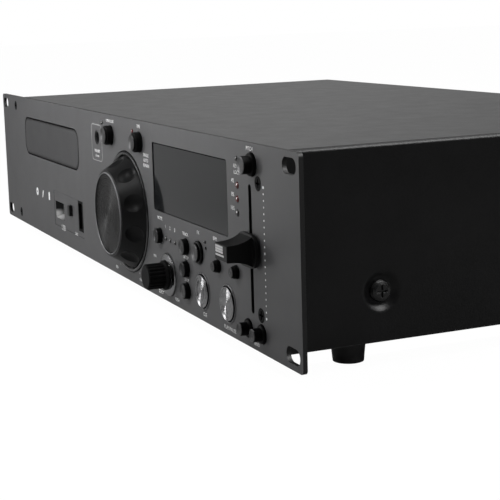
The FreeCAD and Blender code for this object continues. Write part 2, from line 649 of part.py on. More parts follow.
def pan_screw(name, x, y, z, turn, length, head, rise):
    """A pan-head screw whose head seats at a point and whose shank runs along the turned axis."""
    screw = turned_part(name, (
        (0, f"-{rise}"), (f"{head} * 0.6", f"-{rise}"), (f"{head} * 0.85", f"-{rise} * 0.8"),
        (head, f"-{rise} * 0.4"), (head, 0), ("screw_radius", 0), ("screw_radius", length), (0, length)), 0, 0)
    cross_recess(screw, f"-{rise}", f"{head} * 0.55")
    return put(screw, x, y, z, turn)


def cover_screws():
    screws = []
    for number, (side, y) in enumerate(side_dimples()):
        turn = Rotation(Vector(0, 0, 1), 90 * side)
        seat = f"{side} * (case_width / 2 - dimple_depth)"
        screws.append(pan_screw(f"side_screw_{number}", seat, y, "-dimple_drop", turn,
                                "base_thick * 4", "cover_screw_head", "cover_screw_rise"))
    for number in (-1, 0, 1):
        screws.append(pan_screw(f"lip_screw_{number + 1}", f"{number} * lip_screw_pitch", "case_depth",
                                "case_top - lip_height / 2", Rotation(Vector(0, 0, 1), 180),
                                "base_thick * 4", "screw_radius * 2", "cover_screw_rise * 0.8"))
    return node("cover_screws", group("cover_screw_group", screws))


def panel_screws():
    screws = []
    for number, (x, z) in enumerate(COUNTERSUNK):
        depth = "panel_thick + base_thick * 3"
        name = f"csk_screw_{number}"
        screw = turned_part(name, ((0, 0), ("csk_radius", 0), ("screw_radius", "csk_depth"),
                                   ("screw_radius", depth), (0, depth)), x, z)
        cross_recess(screw, "0", "csk_radius * 0.6")
        screws.append(screw)
    return node("panel_screws", group("panel_screw_group", screws))


# ---------------------------------------------------------------- media bay
def media_insert():
    x0, x1, z0, z1 = grown(MEDIA, "-insert_gap")
    plate = box("media_plate", x0, x1, "insert_gap", "panel_thick", z0, z1)
    flange = box("media_flange", f"{x0} - frame_wall", f"{x1} + frame_wall", "panel_thick",
                 "panel_thick + media_wall", f"{z0} - frame_wall", f"{z1} + frame_wall")
    well = box("usb_well", "usb_x - usb_mouth_width / 2 - media_wall",
               "usb_x + usb_mouth_width / 2 + media_wall", "panel_thick", "usb_mouth + media_wall",
               "usb_z - usb_mouth_height / 2 - media_wall", "usb_z + usb_mouth_height / 2 + media_wall")
    mouth = new_body("usb_mouth_cut")
    for name, offset, width, height in (("front", "0", "usb_mouth_width", "usb_mouth_height"),
                                        ("back", "-usb_mouth", "usb_width + media_wall * 2",
                                         "usb_height + media_wall")):
        profile = Profile(mouth, f"usb_mouth_{name}", "XZ_Plane", offset)
        profile.rectangle(f"usb_x - ({width}) / 2", f"usb_x + ({width}) / 2",
                          f"usb_z - ({height}) / 2", f"usb_z + ({height}) / 2")
        profile.done()
    front, back = mouth.Group[-2:]
    loft = mouth.newObject("PartDesign::AdditiveLoft", "usb_mouth_loft")
    loft.Profile = front
    loft.Sections = [back]
    loft.Ruled = True
    port = box("usb_way", "usb_x - usb_width / 2 - media_gap", "usb_x + usb_width / 2 + media_gap",
               "0", "usb_depth", "usb_z - usb_height / 2 - media_gap", "usb_z + usb_height / 2 + media_gap")
    card = box("card_way", "card_x - card_width / 2 - media_wall", "card_x + card_width / 2 + media_wall",
               "-media_wall", "card_depth", "card_z - card_height / 2 - media_wall",
               "card_z + card_height / 2 + media_wall")
    key = box("media_key_way", "media_button_x - media_button_w / 2 - media_gap",
              "media_button_x + media_button_w / 2 + media_gap", "-media_wall", "usb_depth",
              "media_button_z - media_button_h / 2 - media_gap",
              "media_button_z + media_button_h / 2 + media_gap")
    posts = [rod(f"media_post_{side}", "post_radius", "card_depth - panel_thick",
                 f"media_x {side} media_width * 0.44", "panel_thick", "media_z - media_height * 0.36")
             for side in ("-",)]
    posts.append(rod("media_post_middle", "post_radius", "card_depth - panel_thick",
                     "card_x - card_width - media_wall * 2", "panel_thick", "media_z - media_height * 0.36"))
    return node("media_insert", cut("media_cut", join("media_body", [plate, flange, well] + posts),
                                    [mouth, port, card, key]))


def usb_port():
    y0 = "usb_mouth"
    y1 = "usb_depth"
    wall = "media_gap"
    shell = box("usb_shell", "usb_x - usb_width / 2", "usb_x + usb_width / 2", y0, y1,
                "usb_z - usb_height / 2", "usb_z + usb_height / 2")
    hollow = box("usb_hollow", f"usb_x - usb_width / 2 + {wall}", f"usb_x + usb_width / 2 - {wall}", "0",
                 f"{y1} - media_wall", f"usb_z - usb_height / 2 + {wall}", f"usb_z + usb_height / 2 - {wall}")
    tongue = box("usb_tongue", "usb_x - usb_width * 0.44", "usb_x + usb_width * 0.44",
                 f"{y0} + media_gap * 2", y1, "usb_z + usb_height * 0.02", "usb_z + usb_height * 0.35")
    return node("usb_port", join("usb_whole", [cut("usb_open", shell, [hollow]), tongue]))


def card_slot():
    edges = grown(("card_x - card_width / 2", "card_x + card_width / 2",
                   "card_z - card_height / 2", "card_z + card_height / 2"), "media_wall - media_gap")
    block = box("card_block", *edges[:2], "0", "card_depth", *edges[2:])
    mouth = box("card_mouth", "card_x - card_width / 2", "card_x + card_width / 2", "-media_wall",
                "media_depth", "card_z - card_height / 2", "card_z + card_height / 2")
    slit = box("card_slit_cut", "card_x - card_slit / 2", "card_x + card_slit / 2", "0",
               "card_depth - media_wall", "card_z - card_height / 2", "card_z + card_height / 2")
    return node("card_slot", cut("card_open", block, [mouth, slit]))


def media_button():
    half_w = "media_button_w / 2"
    half_h = "media_button_h / 2"
    body = new_body("media_button")
    face = Profile(body, "media_button_face", "XZ_Plane", "media_button_rise")
    face.rounded(f"media_button_x - {half_w}", f"media_button_x + {half_w}",
                 f"media_button_z - {half_h}", f"media_button_z + {half_h}", "button_chamfer * 2")
    pad(body, face, "media_button_rise + panel_thick + media_wall + running_gap", "media_button_cap")
    back = Profile(body, "media_button_back", "XZ_Plane", "-(panel_thick + media_wall + running_gap)")
    back.rectangle(f"media_button_x - {half_w} - media_gap * 3", f"media_button_x + {half_w} + media_gap * 3",
                   f"media_button_z - {half_h} - media_gap * 3", f"media_button_z + {half_h} + media_gap * 3")
    pad(body, back, "button_flange_thick", "media_button_flange")
    stem = Profile(body, "media_button_stem", "XZ_Plane", "-(panel_thick + media_wall)")
    stem.rectangle(f"media_button_x - {half_w} * 0.6", f"media_button_x + {half_w} * 0.6",
                   f"media_button_z - {half_h} * 0.4", f"media_button_z + {half_h} * 0.4")
    pad(body, stem, "card_depth - switch_depth - switch_gap - panel_thick - media_wall", "media_button_rod")
    return node("media_button", body)


def headphone_jack():
    half = "jack_body / 2"
    block = box("jack_block", f"jack_x - {half}", f"jack_x + {half}", "panel_thick",
                "jack_depth + media_wall * 2", f"jack_z - {half}", f"jack_z + {half} - media_wall")
    bush = rod("jack_bush", "jack_hole - running_gap", "panel_thick * 1.25", "jack_x",
               "panel_thick * 0.25", "jack_z")
    bore = rod("jack_bore_cut", "jack_bore", "jack_depth", "jack_x", "panel_thick * 0.25", "jack_z")
    return node("headphone_jack", cut("jack_bored", join("jack_solid", [block, bush]), [bore]))


# ---------------------------------------------------------------- jog wheel
def jog_ring():
    return node("jog_ring", turned_part("jog_ring", (
        ("ring_inner", "panel_thick"), ("ring_inner", "-ring_rise * 0.4"),
        ("ring_inner + ring_rise * 0.6", "-ring_rise"), ("ring_outer - ring_rise * 0.6", "-ring_rise"),
        ("ring_outer", "-ring_rise * 0.4"), ("ring_outer", "panel_thick")), "jog_x", "jog_z"))


def jog_bearing():
    back = "panel_thick + bearing_plate"
    return node("jog_bearing", turned_part("jog_bearing", (
        ("jog_shaft + running_gap", "panel_thick"), ("bearing_radius", "panel_thick"),
        ("bearing_radius", back), ("bearing_boss", back), ("bearing_boss", "bearing_depth"),
        ("jog_shaft + running_gap", "bearing_depth")), "jog_x", "jog_z"))


def jog_wheel():
    """A hollow cone-shaped wheel with a ring of ball-cut finger dimples."""
    front = "-jog_rise"
    body = new_body("jog_wheel")
    profile = Profile(body, "jog_wheel_profile", "XY_Plane")
    web = f"{front} + jog_wall * 2"
    seat = f"{front} + jog_wall * 0.5"
    profile.polygon(
        (0, web), (0, seat), ("jog_cap_radius + running_gap", seat),
        ("jog_cap_radius + running_gap", front), ("jog_top_radius - jog_wall * 0.2", front),
        ("jog_top_radius", f"{front} + jog_wall * 0.3"), ("jog_radius - jog_wall * 0.2", "-jog_back * 1.2"),
        ("jog_radius", "-jog_back * 0.6"), ("jog_radius", "panel_thick - jog_back"),
        ("jog_radius - jog_wall", "panel_thick - jog_back"), ("jog_radius - jog_wall", 0),
        ("jog_top_radius - jog_wall * 1.6", web), ("jog_hub", web),
        ("jog_hub", "panel_thick - jog_back"), ("jog_shaft", "panel_thick - jog_back"),
        ("jog_shaft", web))
    turned(body, profile, "jog_wheel_turn")
    ball = body.newObject("PartDesign::SubtractiveSphere", "finger_dimple")
    run = "((jog_radius - jog_top_radius) ^ 2 + jog_rise ^ 2) ^ 0.5"
    lift = "(dimple_ball - dimple_sink)"
    bind(ball, Radius="dimple_ball", Placement__Base__x=0,
         Placement__Base__y=f"-jog_rise / 2 - {lift} * (jog_radius - jog_top_radius) / {run}",
         Placement__Base__z=f"(jog_radius + jog_top_radius) / 2 + {lift} * jog_rise / {run}")
    pattern = body.newObject("PartDesign::PolarPattern", "finger_dimples")
    pattern.Originals = [ball]
    pattern.Axis = ([item for item in body.Origin.OriginFeatures if item.Role == "Y_Axis"][0], [""])
    pattern.Angle = 360
    bind(pattern, Occurrences="finger_count")
    body.Tip = pattern
    return node("jog_wheel", put(body, "jog_x", 0, "jog_z"))


def jog_cap():
    front = "-jog_cap_rise"
    seat = "-jog_rise + jog_wall * 0.5"
    return node("jog_cap", turned_part("jog_cap", (
        (0, f"{front} + jog_cap_rim"), ("jog_cap_radius - jog_cap_rim * 3", f"{front} + jog_cap_rim"),
        ("jog_cap_radius - jog_cap_rim * 2", front), ("jog_cap_radius - jog_cap_rim * 0.5", front),
        ("jog_cap_radius", f"{front} + jog_cap_rim * 0.5"), ("jog_cap_radius", seat), (0, seat)),
        "jog_x", "jog_z"))


def jog_spindle():
    end = "bearing_depth + seat_gap"
    return node("jog_spindle", turned_part("jog_spindle", (
        (0, "jog_wall * 2 - jog_rise"), ("jog_shaft", "jog_wall * 2 - jog_rise"), ("jog_shaft", end),
        ("jog_shaft * 1.4", end), ("jog_shaft * 1.4", f"{end} + cover_thick"),
        (0, f"{end} + cover_thick")), "jog_x", "jog_z"))


# ---------------------------------------------------------------- display and control board
def display_window():
    x0, x1, z0, z1 = grown(DISPLAY, "window_margin")
    return node("display_window", box("display_window", x0, x1, "panel_thick",
                                      "panel_thick + window_thick", z0, z1))


def lcd_module():
    x0, x1, z0, z1 = grown(DISPLAY, "window_margin")
    y0 = "panel_thick + window_thick"
    frame = box("lcd_frame", x0, x1, f"{y0} + seat_gap", "board_y", z0, z1)
    view = box("lcd_view", *DISPLAY[:2], y0, f"{y0} + media_wall", *DISPLAY[2:])
    return node("lcd_module", cut("lcd_recessed", frame, [view]))


def control_boards():
    plate = box("board_plate", "board_left", "board_right", "board_y", "board_y + board_thick",
                "board_bottom", "board_top")
    x0, x1, z0, z1 = MEDIA
    small = box("media_plate_rear", x0, x1, "card_depth", "card_depth + board_thick", z0, z1)
    return node("control_boards", group("board_pair", [plate, small]))


def tact_switches():
    half = "switch_size / 2"
    switches = []
    for name, *_ in BUTTONS + COLLARED:
        x, z = f"{name}_x", f"{name}_z"
        switches.append(box(f"switch_{name}", f"{x} - {half}", f"{x} + {half}",
                            "board_y - switch_depth", "board_y", f"{z} - {half}", f"{z} + {half}"))
    x, z = "media_button_x", "media_button_z"
    switches.append(box("switch_media", f"{x} - {half}", f"{x} + {half}", "card_depth - switch_depth",
                        "card_depth", f"{z} - {half}", f"{z} + {half}"))
    return node("tact_switches", group("switch_group", switches))


def lamps():
    solids = []
    for name, *_ in LAMPS:
        radius = f"{name}_radius"
        solids.append(turned_part(name, (
            (0, "-ring_rise"), (f"{radius} * 0.7", "-ring_rise * 0.7"), (radius, 0),
            (radius, "panel_thick * 2"), (f"{radius} + seat_gap", "panel_thick * 2"),
            (f"{radius} + seat_gap", "board_y"), (0, "board_y")), f"{name}_x", f"{name}_z"))
    return node("lamps", group("lamp_group", solids))


# ---------------------------------------------------------------- buttons
def round_edge(radius, face, size, steps=3):
    """List the corners of a quarter round from a flat face over to a cylinder's side."""
    points = []
    for step in range(steps + 1):
        angle = math.pi / 2 * step / steps
        points.append((f"{radius} - {size} * {1 - math.sin(angle):.4f}",
                       f"{face} + {size} * {1 - math.cos(angle):.4f}"))
    return points


def button_tail(radius, rim):
    """List a button's corners from its side behind the panel: retaining flange and stem."""
    flange = "panel_thick + running_gap * 2"
    back = f"{flange} + button_flange_thick"
    end = "board_y - switch_depth - switch_gap"
    return [(radius, flange), (rim, flange), (rim, back), ("button_stem", back), ("button_stem", end),
            (0, end)]


def push_button(name):
    """A round button with a flat face and a rounded edge; a flange and stem behind the panel."""
    radius = f"{name}_radius"
    face = f"-{name}_rise"
    points = [(0, face), *round_edge(radius, face, f"{name}_rise / 4"),
              *button_tail(radius, f"{radius} + button_flange")]
    return node(name, turned_part(name, points, f"{name}_x", f"{name}_z"))


def collared_button(name):
    """A round button that stands on a wider collar."""
    radius, cap = f"{name}_radius", f"{name}_cap"
    face, collar = f"-{name}_rise", f"-{name}_collar"
    points = [(0, face), *round_edge(cap, face, "button_chamfer"), (cap, f"{collar} - button_chamfer * 0.5"),
              (f"{radius} - button_chamfer * 0.5", collar), (radius, f"{collar} + button_chamfer * 0.5"),
              *button_tail(radius, f"{radius} + button_flange")]
    return node(name, turned_part(name, points, f"{name}_x", f"{name}_z"))


def button_bezels():
    rings = []
    for name, radius, width, rise in BEZELS:
        rings.append(turned_part(f"bezel_{name}", (
            (f"{radius} - {width}", "panel_thick"), (f"{radius} - {width}", f"-{rise}"),
            (f"{radius} - {width} * 0.4", f"-{rise}"), (radius, f"-{rise} + {width} * 0.3"),
            (radius, "panel_thick")), f"{name}_x", f"{name}_z"))
    return node("button_bezels", group("bezel_group", rings))


# ---------------------------------------------------------------- encoder
def encoder_body():
    half = "encoder_body / 2"
    block = box("encoder_block", f"encoder_x - {half}", f"encoder_x + {half}",
                "board_y - encoder_body * 0.6", "board_y", f"encoder_z - {half}", f"encoder_z + {half}")
    bush = rod("encoder_bush_rod", "encoder_bush", "board_y", "encoder_x", "panel_thick * 0.2", "encoder_z")
    solid = cut("encoder_trim", join("encoder_solid", [block, bush]), [
        box("encoder_rear", f"encoder_x - {half}", f"encoder_x + {half}", "board_y",
            "board_y * 2", f"encoder_z - {half}", f"encoder_z + {half}"),
        rod("encoder_bore", "encoder_shaft + running_gap", "board_y * 0.8", "encoder_x", 0, "encoder_z")])
    return node("encoder_body", solid)


def encoder_skirt():
    """The bright skirt and the shaft that it is turned in one with."""
    front = "-(skirt_gap + skirt_thick)"
    return turned_part("encoder_skirt", (
        (0, "-encoder_rise * 0.8"), ("encoder_shaft", "-encoder_rise * 0.8"), ("encoder_shaft", front),
        ("encoder_flange", front), ("encoder_skirt - skirt_thick * 0.5", "-skirt_gap - skirt_thick * 0.5"),
        ("encoder_skirt", "-skirt_gap"), ("encoder_shaft", "-skirt_gap"),
        ("encoder_shaft", "board_y * 0.7"), (0, "board_y * 0.7")), "encoder_x", "encoder_z")


def encoder_knob():
    """A grip with fluted sides and a plain collar, bored for the shaft and skirt below it."""
    back = "-(skirt_gap + skirt_thick)"
    shoulder = "-encoder_collar * 1.3"
    body = new_body("encoder_grip")
    profile = Profile(body, "encoder_knob_profile", "XY_Plane")
    profile.polygon((0, "-encoder_rise * 0.8"), (0, "-encoder_rise"),
                    ("encoder_radius - flute_radius", "-encoder_rise"),
                    ("encoder_radius", "flute_radius - encoder_rise"), ("encoder_radius", shoulder),
                    ("encoder_flange", "-encoder_collar"), ("encoder_flange", back),
                    ("encoder_shaft", back), ("encoder_shaft", "-encoder_rise * 0.8"))
    turned(body, profile, "encoder_knob_turn")
    flute = Profile(body, "flute_profile", "XZ_Plane", "encoder_rise + flute_radius")
    flute.circle("encoder_radius + flute_radius * 0.35", 0, "flute_radius")
    groove = pocket(body, flute, "knob_flute", f"encoder_rise + flute_radius + {shoulder}")
    pattern = body.newObject("PartDesign::PolarPattern", "knob_flutes")
    pattern.Originals = [groove]
    pattern.Axis = ([item for item in body.Origin.OriginFeatures if item.Role == "Y_Axis"][0], [""])
    pattern.Angle = 360
    bind(pattern, Occurrences="flute_count")
    body.Tip = pattern
    grip = put(body, "encoder_x", 0, "encoder_z")
    return node("encoder_knob", group("encoder_set", [grip, encoder_skirt()]))


# ---------------------------------------------------------------- pitch fader
def fader_body():
    half_w = "fader_width / 2"
    half_l = "(fader_travel / 2 + carriage / 2 + fader_wall + seat_gap)"
    back = "fader_front + fader_depth"
    shell = box("fader_shell", f"fader_x - {half_w}", f"fader_x + {half_w}", "fader_front", back,
                f"fader_z - {half_l}", f"fader_z + {half_l}")
    hollow = box("fader_hollow", f"fader_x - {half_w} + fader_wall", f"fader_x + {half_w} - fader_wall",
                 "fader_front + fader_wall", f"{back} - fader_wall",
                 f"fader_z - {half_l} + fader_wall", f"fader_z + {half_l} - fader_wall")
    slot = box("fader_way", "fader_x - fader_slot / 2", "fader_x + fader_slot / 2", "panel_thick",
               "fader_front + fader_wall * 2", "fader_z - fader_travel / 2 - stem_height / 2 - seat_gap",
               "fader_z + fader_travel / 2 + stem_height / 2 + seat_gap")
    tabs = []
    bores = []
    for number, level in enumerate(("", "-")):
        z = f"{level}fader_screw_z"
        half = "screw_radius * 1.6"
        tabs.append(box(f"fader_tab_{number}", f"fader_x + {half_w} - fader_wall",
                        f"fader_screw_x + {half}", "panel_thick", "fader_front + fader_wall",
                        f"{z} - {half}", f"{z} + {half}"))
        bores.append(rod(f"fader_bore_{number}", "screw_radius + running_gap", "fader_depth",
                         "fader_screw_x", 0, z))
    return node("fader_body", cut("fader_open", join("fader_solid", [shell] + tabs), [hollow, slot] + bores))


def fader_stem():
    blade = box("stem_blade", "fader_x - stem_width / 2", "fader_x + stem_width / 2",
                "-cap_rise * 0.75", "fader_front + fader_wall * 3", "fader_z - stem_height / 2",
                "fader_z + stem_height / 2")
    half = "carriage / 2"
    inner = "fader_width / 2 - fader_wall - seat_gap"
    block = box("stem_carriage", f"fader_x - ({inner})", f"fader_x + {inner}",
                "fader_front + fader_wall + seat_gap", "fader_front + fader_depth - fader_wall - seat_gap",
                f"fader_z - {half}", f"fader_z + {half}")
    return node("fader_stem", join("stem_whole", [blade, block]))


def cap_flank(half_h, steps=9):
    """List the upper flank of the ridge: a hollow curve from the wide foot to the narrow tip."""
    root = "(cap_gap + cap_flange * 0.5)"
    points = []
    for step in range(steps + 1):
        along = step / steps
        spread = (1 - along) ** 2.6
        points.append((f"-{root} - (cap_rise - cap_gap / 2 - {root}) * {along:.4f}",
                       f"cap_tip / 2 + ({half_h} * 0.95 - cap_tip / 2) * {spread:.4f}"))
    points.append(("-cap_rise", "cap_tip / 2 - cap_gap / 2"))
    return points


def fader_cap():
    """A bell-shaped cap: a rounded flange and a waisted ridge for two fingers."""
    body = new_body("fader_cap_solid")
    half_w = "cap_width / 2"
    half_h = "cap_height / 2"
    flange = Profile(body, "cap_flange_profile", "XZ_Plane", "cap_gap + cap_flange")
    flange.rounded(f"-{half_w}", half_w, f"-{half_h}", half_h, "cap_corner")
    pad(body, flange, "cap_flange", "cap_flange_pad")
    ridge = Profile(body, "cap_ridge_profile", "YZ_Plane", "-cap_body / 2")
    flank = cap_flank(half_h)
    mirrored = [(along, f"-({across})") for along, across in flank]
    ridge.polygon(*flank, *reversed(mirrored))
    pad(body, ridge, "cap_body", "cap_ridge_pad")
    put(body, "fader_x", 0, "fader_z")
    bore = box("cap_bore", "fader_x - stem_width / 2", "fader_x + stem_width / 2",
               "-cap_rise * 0.75", 0, "fader_z - stem_height / 2", "fader_z + stem_height / 2")
    return node("fader_cap", cut("cap_bored", body, [bore]))


# ---------------------------------------------------------------- disc tray and its door
TRAY = ("tray_x - door_width / 2 + disc_play", "tray_x + door_width / 2 - disc_play")
RACK_LINE = "tray_x - door_width / 2 + rack_inset"
GEAR_X = f"{RACK_LINE} + gear_module * gear_teeth / 2"
TRAY_TOP = "tray_floor + tray_thick"


def disc_tray():
    """The sliding tray: disc recesses, centre slot and the rack under its left side."""
    x0, x1 = TRAY
    slab = box("tray_slab", x0, x1, "panel_thick", "panel_thick + tray_length", "tray_floor", TRAY_TOP)
    disc = rod("tray_recess", "disc_radius + disc_play", "disc_recess * 2", "tray_x", "disc_y",
               f"{TRAY_TOP} - disc_recess", UPWARD)
    small = rod("tray_inner_recess", "inner_recess", "disc_recess * 3", "tray_x", "disc_y",
                f"{TRAY_TOP} - disc_recess * 1.7", UPWARD)
    slot_x = ("tray_x - tray_slot / 2", "tray_x + tray_slot / 2")
    way = box("tray_way", *slot_x, "disc_y", "disc_y + tray_slot * 1.4", "0", "frame_top * 2")
    way_end = rod("tray_way_end", "tray_slot / 2", "frame_top * 2", "tray_x", "disc_y", 0, UPWARD)
    solid = cut("tray_hollowed", slab, [disc, small, way, way_end])
    rack = box("rack_bar", f"{RACK_LINE} - rack_height", f"{RACK_LINE} - gear_module * 1.3",
               "panel_thick", "panel_thick + tray_length", "tray_floor - gear_thick", "tray_floor")
    return node("disc_tray", join("tray_whole", [solid, rack] + rack_teeth()))


def rack_teeth():
    """A pad of one tooth, repeated along the tray by an array."""
    body = new_body("rack_tooth")
    start = "gear_y - gear_module * 3.1416 * 3"
    shape = Profile(body, "rack_tooth_profile", "XY_Plane", "tray_floor - gear_thick")
    root = f"{RACK_LINE} - gear_module * 1.3"
    tip = f"{RACK_LINE} + gear_module * 0.9"
    half_root = "gear_module * 3.1416 / 4 + gear_module * 0.4732 - tooth_play / 2"
    half_tip = "gear_module * 3.1416 / 4 - gear_module * 0.3276 - tooth_play / 2"
    shape.polygon((root, f"{start} - ({half_root})"), (tip, f"{start} - ({half_tip})"),
                  (tip, f"{start} + {half_tip}"), (root, f"{start} + {half_root}"))
    pad(body, shape, "gear_thick", "rack_tooth_pad")
    pattern = body.newObject("PartDesign::LinearPattern", "rack_tooth_row")
    pattern.Originals = [body.Group[-2]]
    pattern.Direction = ([item for item in body.Origin.OriginFeatures if item.Role == "Y_Axis"][0], [""])
    bind(pattern, Length="gear_module * 3.1416 * (rack_teeth - 1)", Occurrences="rack_teeth")
    body.Tip = pattern
    return [body]


def tray_door():
    body = new_body("door_plate")
    outline = Profile(body, "door_outline", "XZ_Plane")
    outline.rounded(*DOOR, "door_corner")
    pad(body, outline, "panel_thick", "door_pad")
    return node("tray_door", body)


# ---------------------------------------------------------------- loader frame
def loader_frame():
    """The deck: side walls with ledges, a clamp bridge, optics plate and four legs."""
    x0, x1 = TRAY
    inner = (f"{x0} - frame_gap", f"{x1} + frame_gap")
    outer = (f"{inner[0]} - frame_wall", f"{inner[1]} + frame_wall")
    y0, y1 = "frame_start", "frame_start + frame_length"
    floor = box("deck_floor", *outer, y0, y1, "-frame_floor", "frame_plate - frame_floor")
    pieces = [floor]
    for side, (near, far, ledge) in enumerate(((outer[0], inner[0], f"{inner[0]} + ledge_width"),
                                               (inner[1], outer[1], f"{inner[1]} - ledge_width"))):
        pieces.append(box(f"deck_wall_{side}", near, far, y0, y1, "-frame_floor", "frame_top"))
        ends = (far, ledge) if side == 0 else (ledge, near)
        top = "tray_floor - seat_gap"
        pieces.append(box(f"deck_ledge_{side}", *ends, y0, y1, f"{top} - ledge_thick", top))
        rib = f"{TRAY_TOP} + seat_gap"
        pieces.append(box(f"deck_rib_{side}", *ends, "frame_start + gear_y", y1, rib, f"{rib} + ledge_thick"))
    pieces.append(box("deck_bridge", *outer, "disc_y - bridge_width / 2", "disc_y + bridge_width / 2",
                      "frame_top", "frame_top + frame_plate"))
    pieces.append(rod("disc_clamp", "clamp_radius", "frame_top - clamp_z", "tray_x", "disc_y", "clamp_z",
                      UPWARD))
    for number, (side, end) in enumerate(LEGS):
        pieces.append(rod(f"deck_leg_{number}", "leg_radius", "case_floor - base_thick - frame_floor",
                          f"tray_x {side} leg_pitch / 2", end, "base_thick - case_floor", UPWARD))
    pieces.append(rod("gear_pin", "pin_radius", "frame_floor + tray_floor - seat_gap * 2", GEAR_X,
                      "gear_y", "-frame_floor", UPWARD))
    pieces.append(rod("gear_seat", "pin_radius * 2", "frame_floor + pulley_start - seat_gap", GEAR_X,
                      "gear_y", "-frame_floor", UPWARD))
    for number, (side, end) in enumerate(((s, e) for s in "-+" for e in (0, 1))):
        near = f"rod_start + {end} * (rod_length - rod_block)"
        pieces.append(box(f"rod_block_{number}", f"tray_x {side} rod_pitch / 2 - rod_block / 2",
                          f"tray_x {side} rod_pitch / 2 + rod_block / 2", near, f"{near} + rod_block",
                          "-frame_floor", "rod_z + rod_radius * 2"))
    bores = [rod(f"rod_bore_{number}", "rod_radius + running_gap / 5", "rod_length",
                 f"tray_x {side} rod_pitch / 2", "rod_start", "rod_z")
             for number, side in enumerate("-+")]
    bores.append(rod("spindle_opening", "spindle_can + seat_gap", "frame_floor", "tray_x", "disc_y",
                     "-frame_floor - frame_plate", UPWARD))
    return node("loader_frame", cut("deck_bored", join("deck_solid", pieces), bores))


LEGS = (("-", "leg_y"), ("+", "leg_y"), ("-", "leg_y + leg_reach"), ("+", "leg_y + leg_reach"))


# ---------------------------------------------------------------- tray drive
def tray_gear():
    """A spur gear with its belt pulley below, bored for the pin."""
    body = new_body("gear_blank")
    pitch = "gear_module * gear_teeth / 2"
    blank = Profile(body, "gear_disc", "XY_Plane", "tray_floor - gear_thick - seat_gap")
    blank.circle(0, 0, f"{pitch} + gear_module * 0.9")
    pad(body, blank, "gear_thick", "gear_pad")
    spaces = Profile(body, "gear_space", "XY_Plane", "tray_floor - seat_gap")
    flank = [(f"{pitch} + gear_module * {out}", f"gear_module * {half} + tooth_play / 4")
             for out, half in ((-1.15, 0.5), (-0.6, 0.6), (0, 0.785), (0.82, 1.3), (1.15, 1.53))]
    mirrored = [(across, f"-({along})") for across, along in flank]
    spaces.polygon(*mirrored, *reversed(flank))
    space = pocket(body, spaces, "gear_space_cut", "gear_thick")
    pattern = body.newObject("PartDesign::PolarPattern", "gear_spaces")
    pattern.Originals = [space]
    pattern.Axis = ([item for item in body.Origin.OriginFeatures if item.Role == "Z_Axis"][0], [""])
    pattern.Angle = 360
    bind(pattern, Occurrences="gear_teeth")
    body.Tip = pattern
    put(body, GEAR_X, "gear_y", 0, Rotation(Vector(0, 0, 1), 0))
    pulley = groove_pulley("gear_pulley", "pulley_radius", GEAR_X, "gear_y")
    neck = rod("gear_neck", "pulley_radius * 0.6", "tray_floor - gear_thick - pulley_start - seat_gap",
               GEAR_X, "gear_y", "pulley_start", UPWARD)
    bore = rod("gear_bore", "pin_radius + running_gap", "frame_top", GEAR_X, "gear_y", "0", UPWARD)
    return node("tray_gear", cut("gear_bored", join("gear_solid", [body, pulley, neck]), [bore]))


def groove_pulley(name, radius, x, y):
    """A pulley with a flat groove for the belt."""
    rims = [rod(f"{name}_{end}", radius, "(pulley_height - belt_height) / 2", x, y,
                f"pulley_start + {end} * (pulley_height + belt_height) / 2", UPWARD) for end in (0, 1)]
    core = rod(f"{name}_core", f"{radius} - belt_thick", "pulley_height", x, y, "pulley_start", UPWARD)
    return join(name, rims + [core])


def loader_motor():
    x = f"{GEAR_X} + motor_offset"
    can = rod("motor_can", "motor_radius", "frame_floor - frame_plate + motor_top", x, "motor_y",
              "frame_plate - frame_floor", UPWARD)
    shaft = rod("motor_shaft", "pin_radius * 0.7", "pulley_start + pulley_height - motor_top", x,
                "motor_y", "motor_top", UPWARD)
    return node("loader_motor", join("motor_whole", [can, shaft]))


def motor_pulley():
    x = f"{GEAR_X} + motor_offset"
    pulley = groove_pulley("small_pulley", "motor_pulley", x, "motor_y")
    bore = rod("small_pulley_bore", "pin_radius * 0.7 + running_gap", "frame_top", x, "motor_y", 0, UPWARD)
    return node("motor_pulley", cut("small_pulley_bored", pulley, [bore]))


def drive_belt():
    """The flat belt from the motor to the gear: two arcs and two straight runs."""
    large = value("pulley_radius - belt_thick")
    small = value("motor_pulley - belt_thick")
    far = value("motor_offset")
    lean = math.asin((large - small) / far)
    outlines = []
    for grow in (0, value("belt_thick") * 0.8):
        big, little = large + grow, small + grow
        along = Vector(math.sin(lean), math.cos(lean), 0)
        mirrored = Vector(math.sin(lean), -math.cos(lean), 0)
        start, stop = along * big, mirrored * big
        end = Vector(far, 0, 0)
        edges = [Part.makeLine(start, end + along * little),
                 Part.Arc(end + along * little, end + Vector(little, 0, 0), end + mirrored * little).toShape(),
                 Part.makeLine(end + mirrored * little, stop),
                 Part.Arc(stop, Vector(-big, 0, 0), start).toShape()]
        outlines.append(Part.Face(Part.Wire(edges)))
    ring = outlines[1].cut(outlines[0]).extrude(Vector(0, 0, value("belt_height") * 0.9))
    obj = doc.addObject("Part::Feature", "drive_belt")
    obj.Shape = ring
    return node("drive_belt", put(obj, GEAR_X, "gear_y", "pulley_start + (pulley_height - belt_height * 0.9) / 2"))


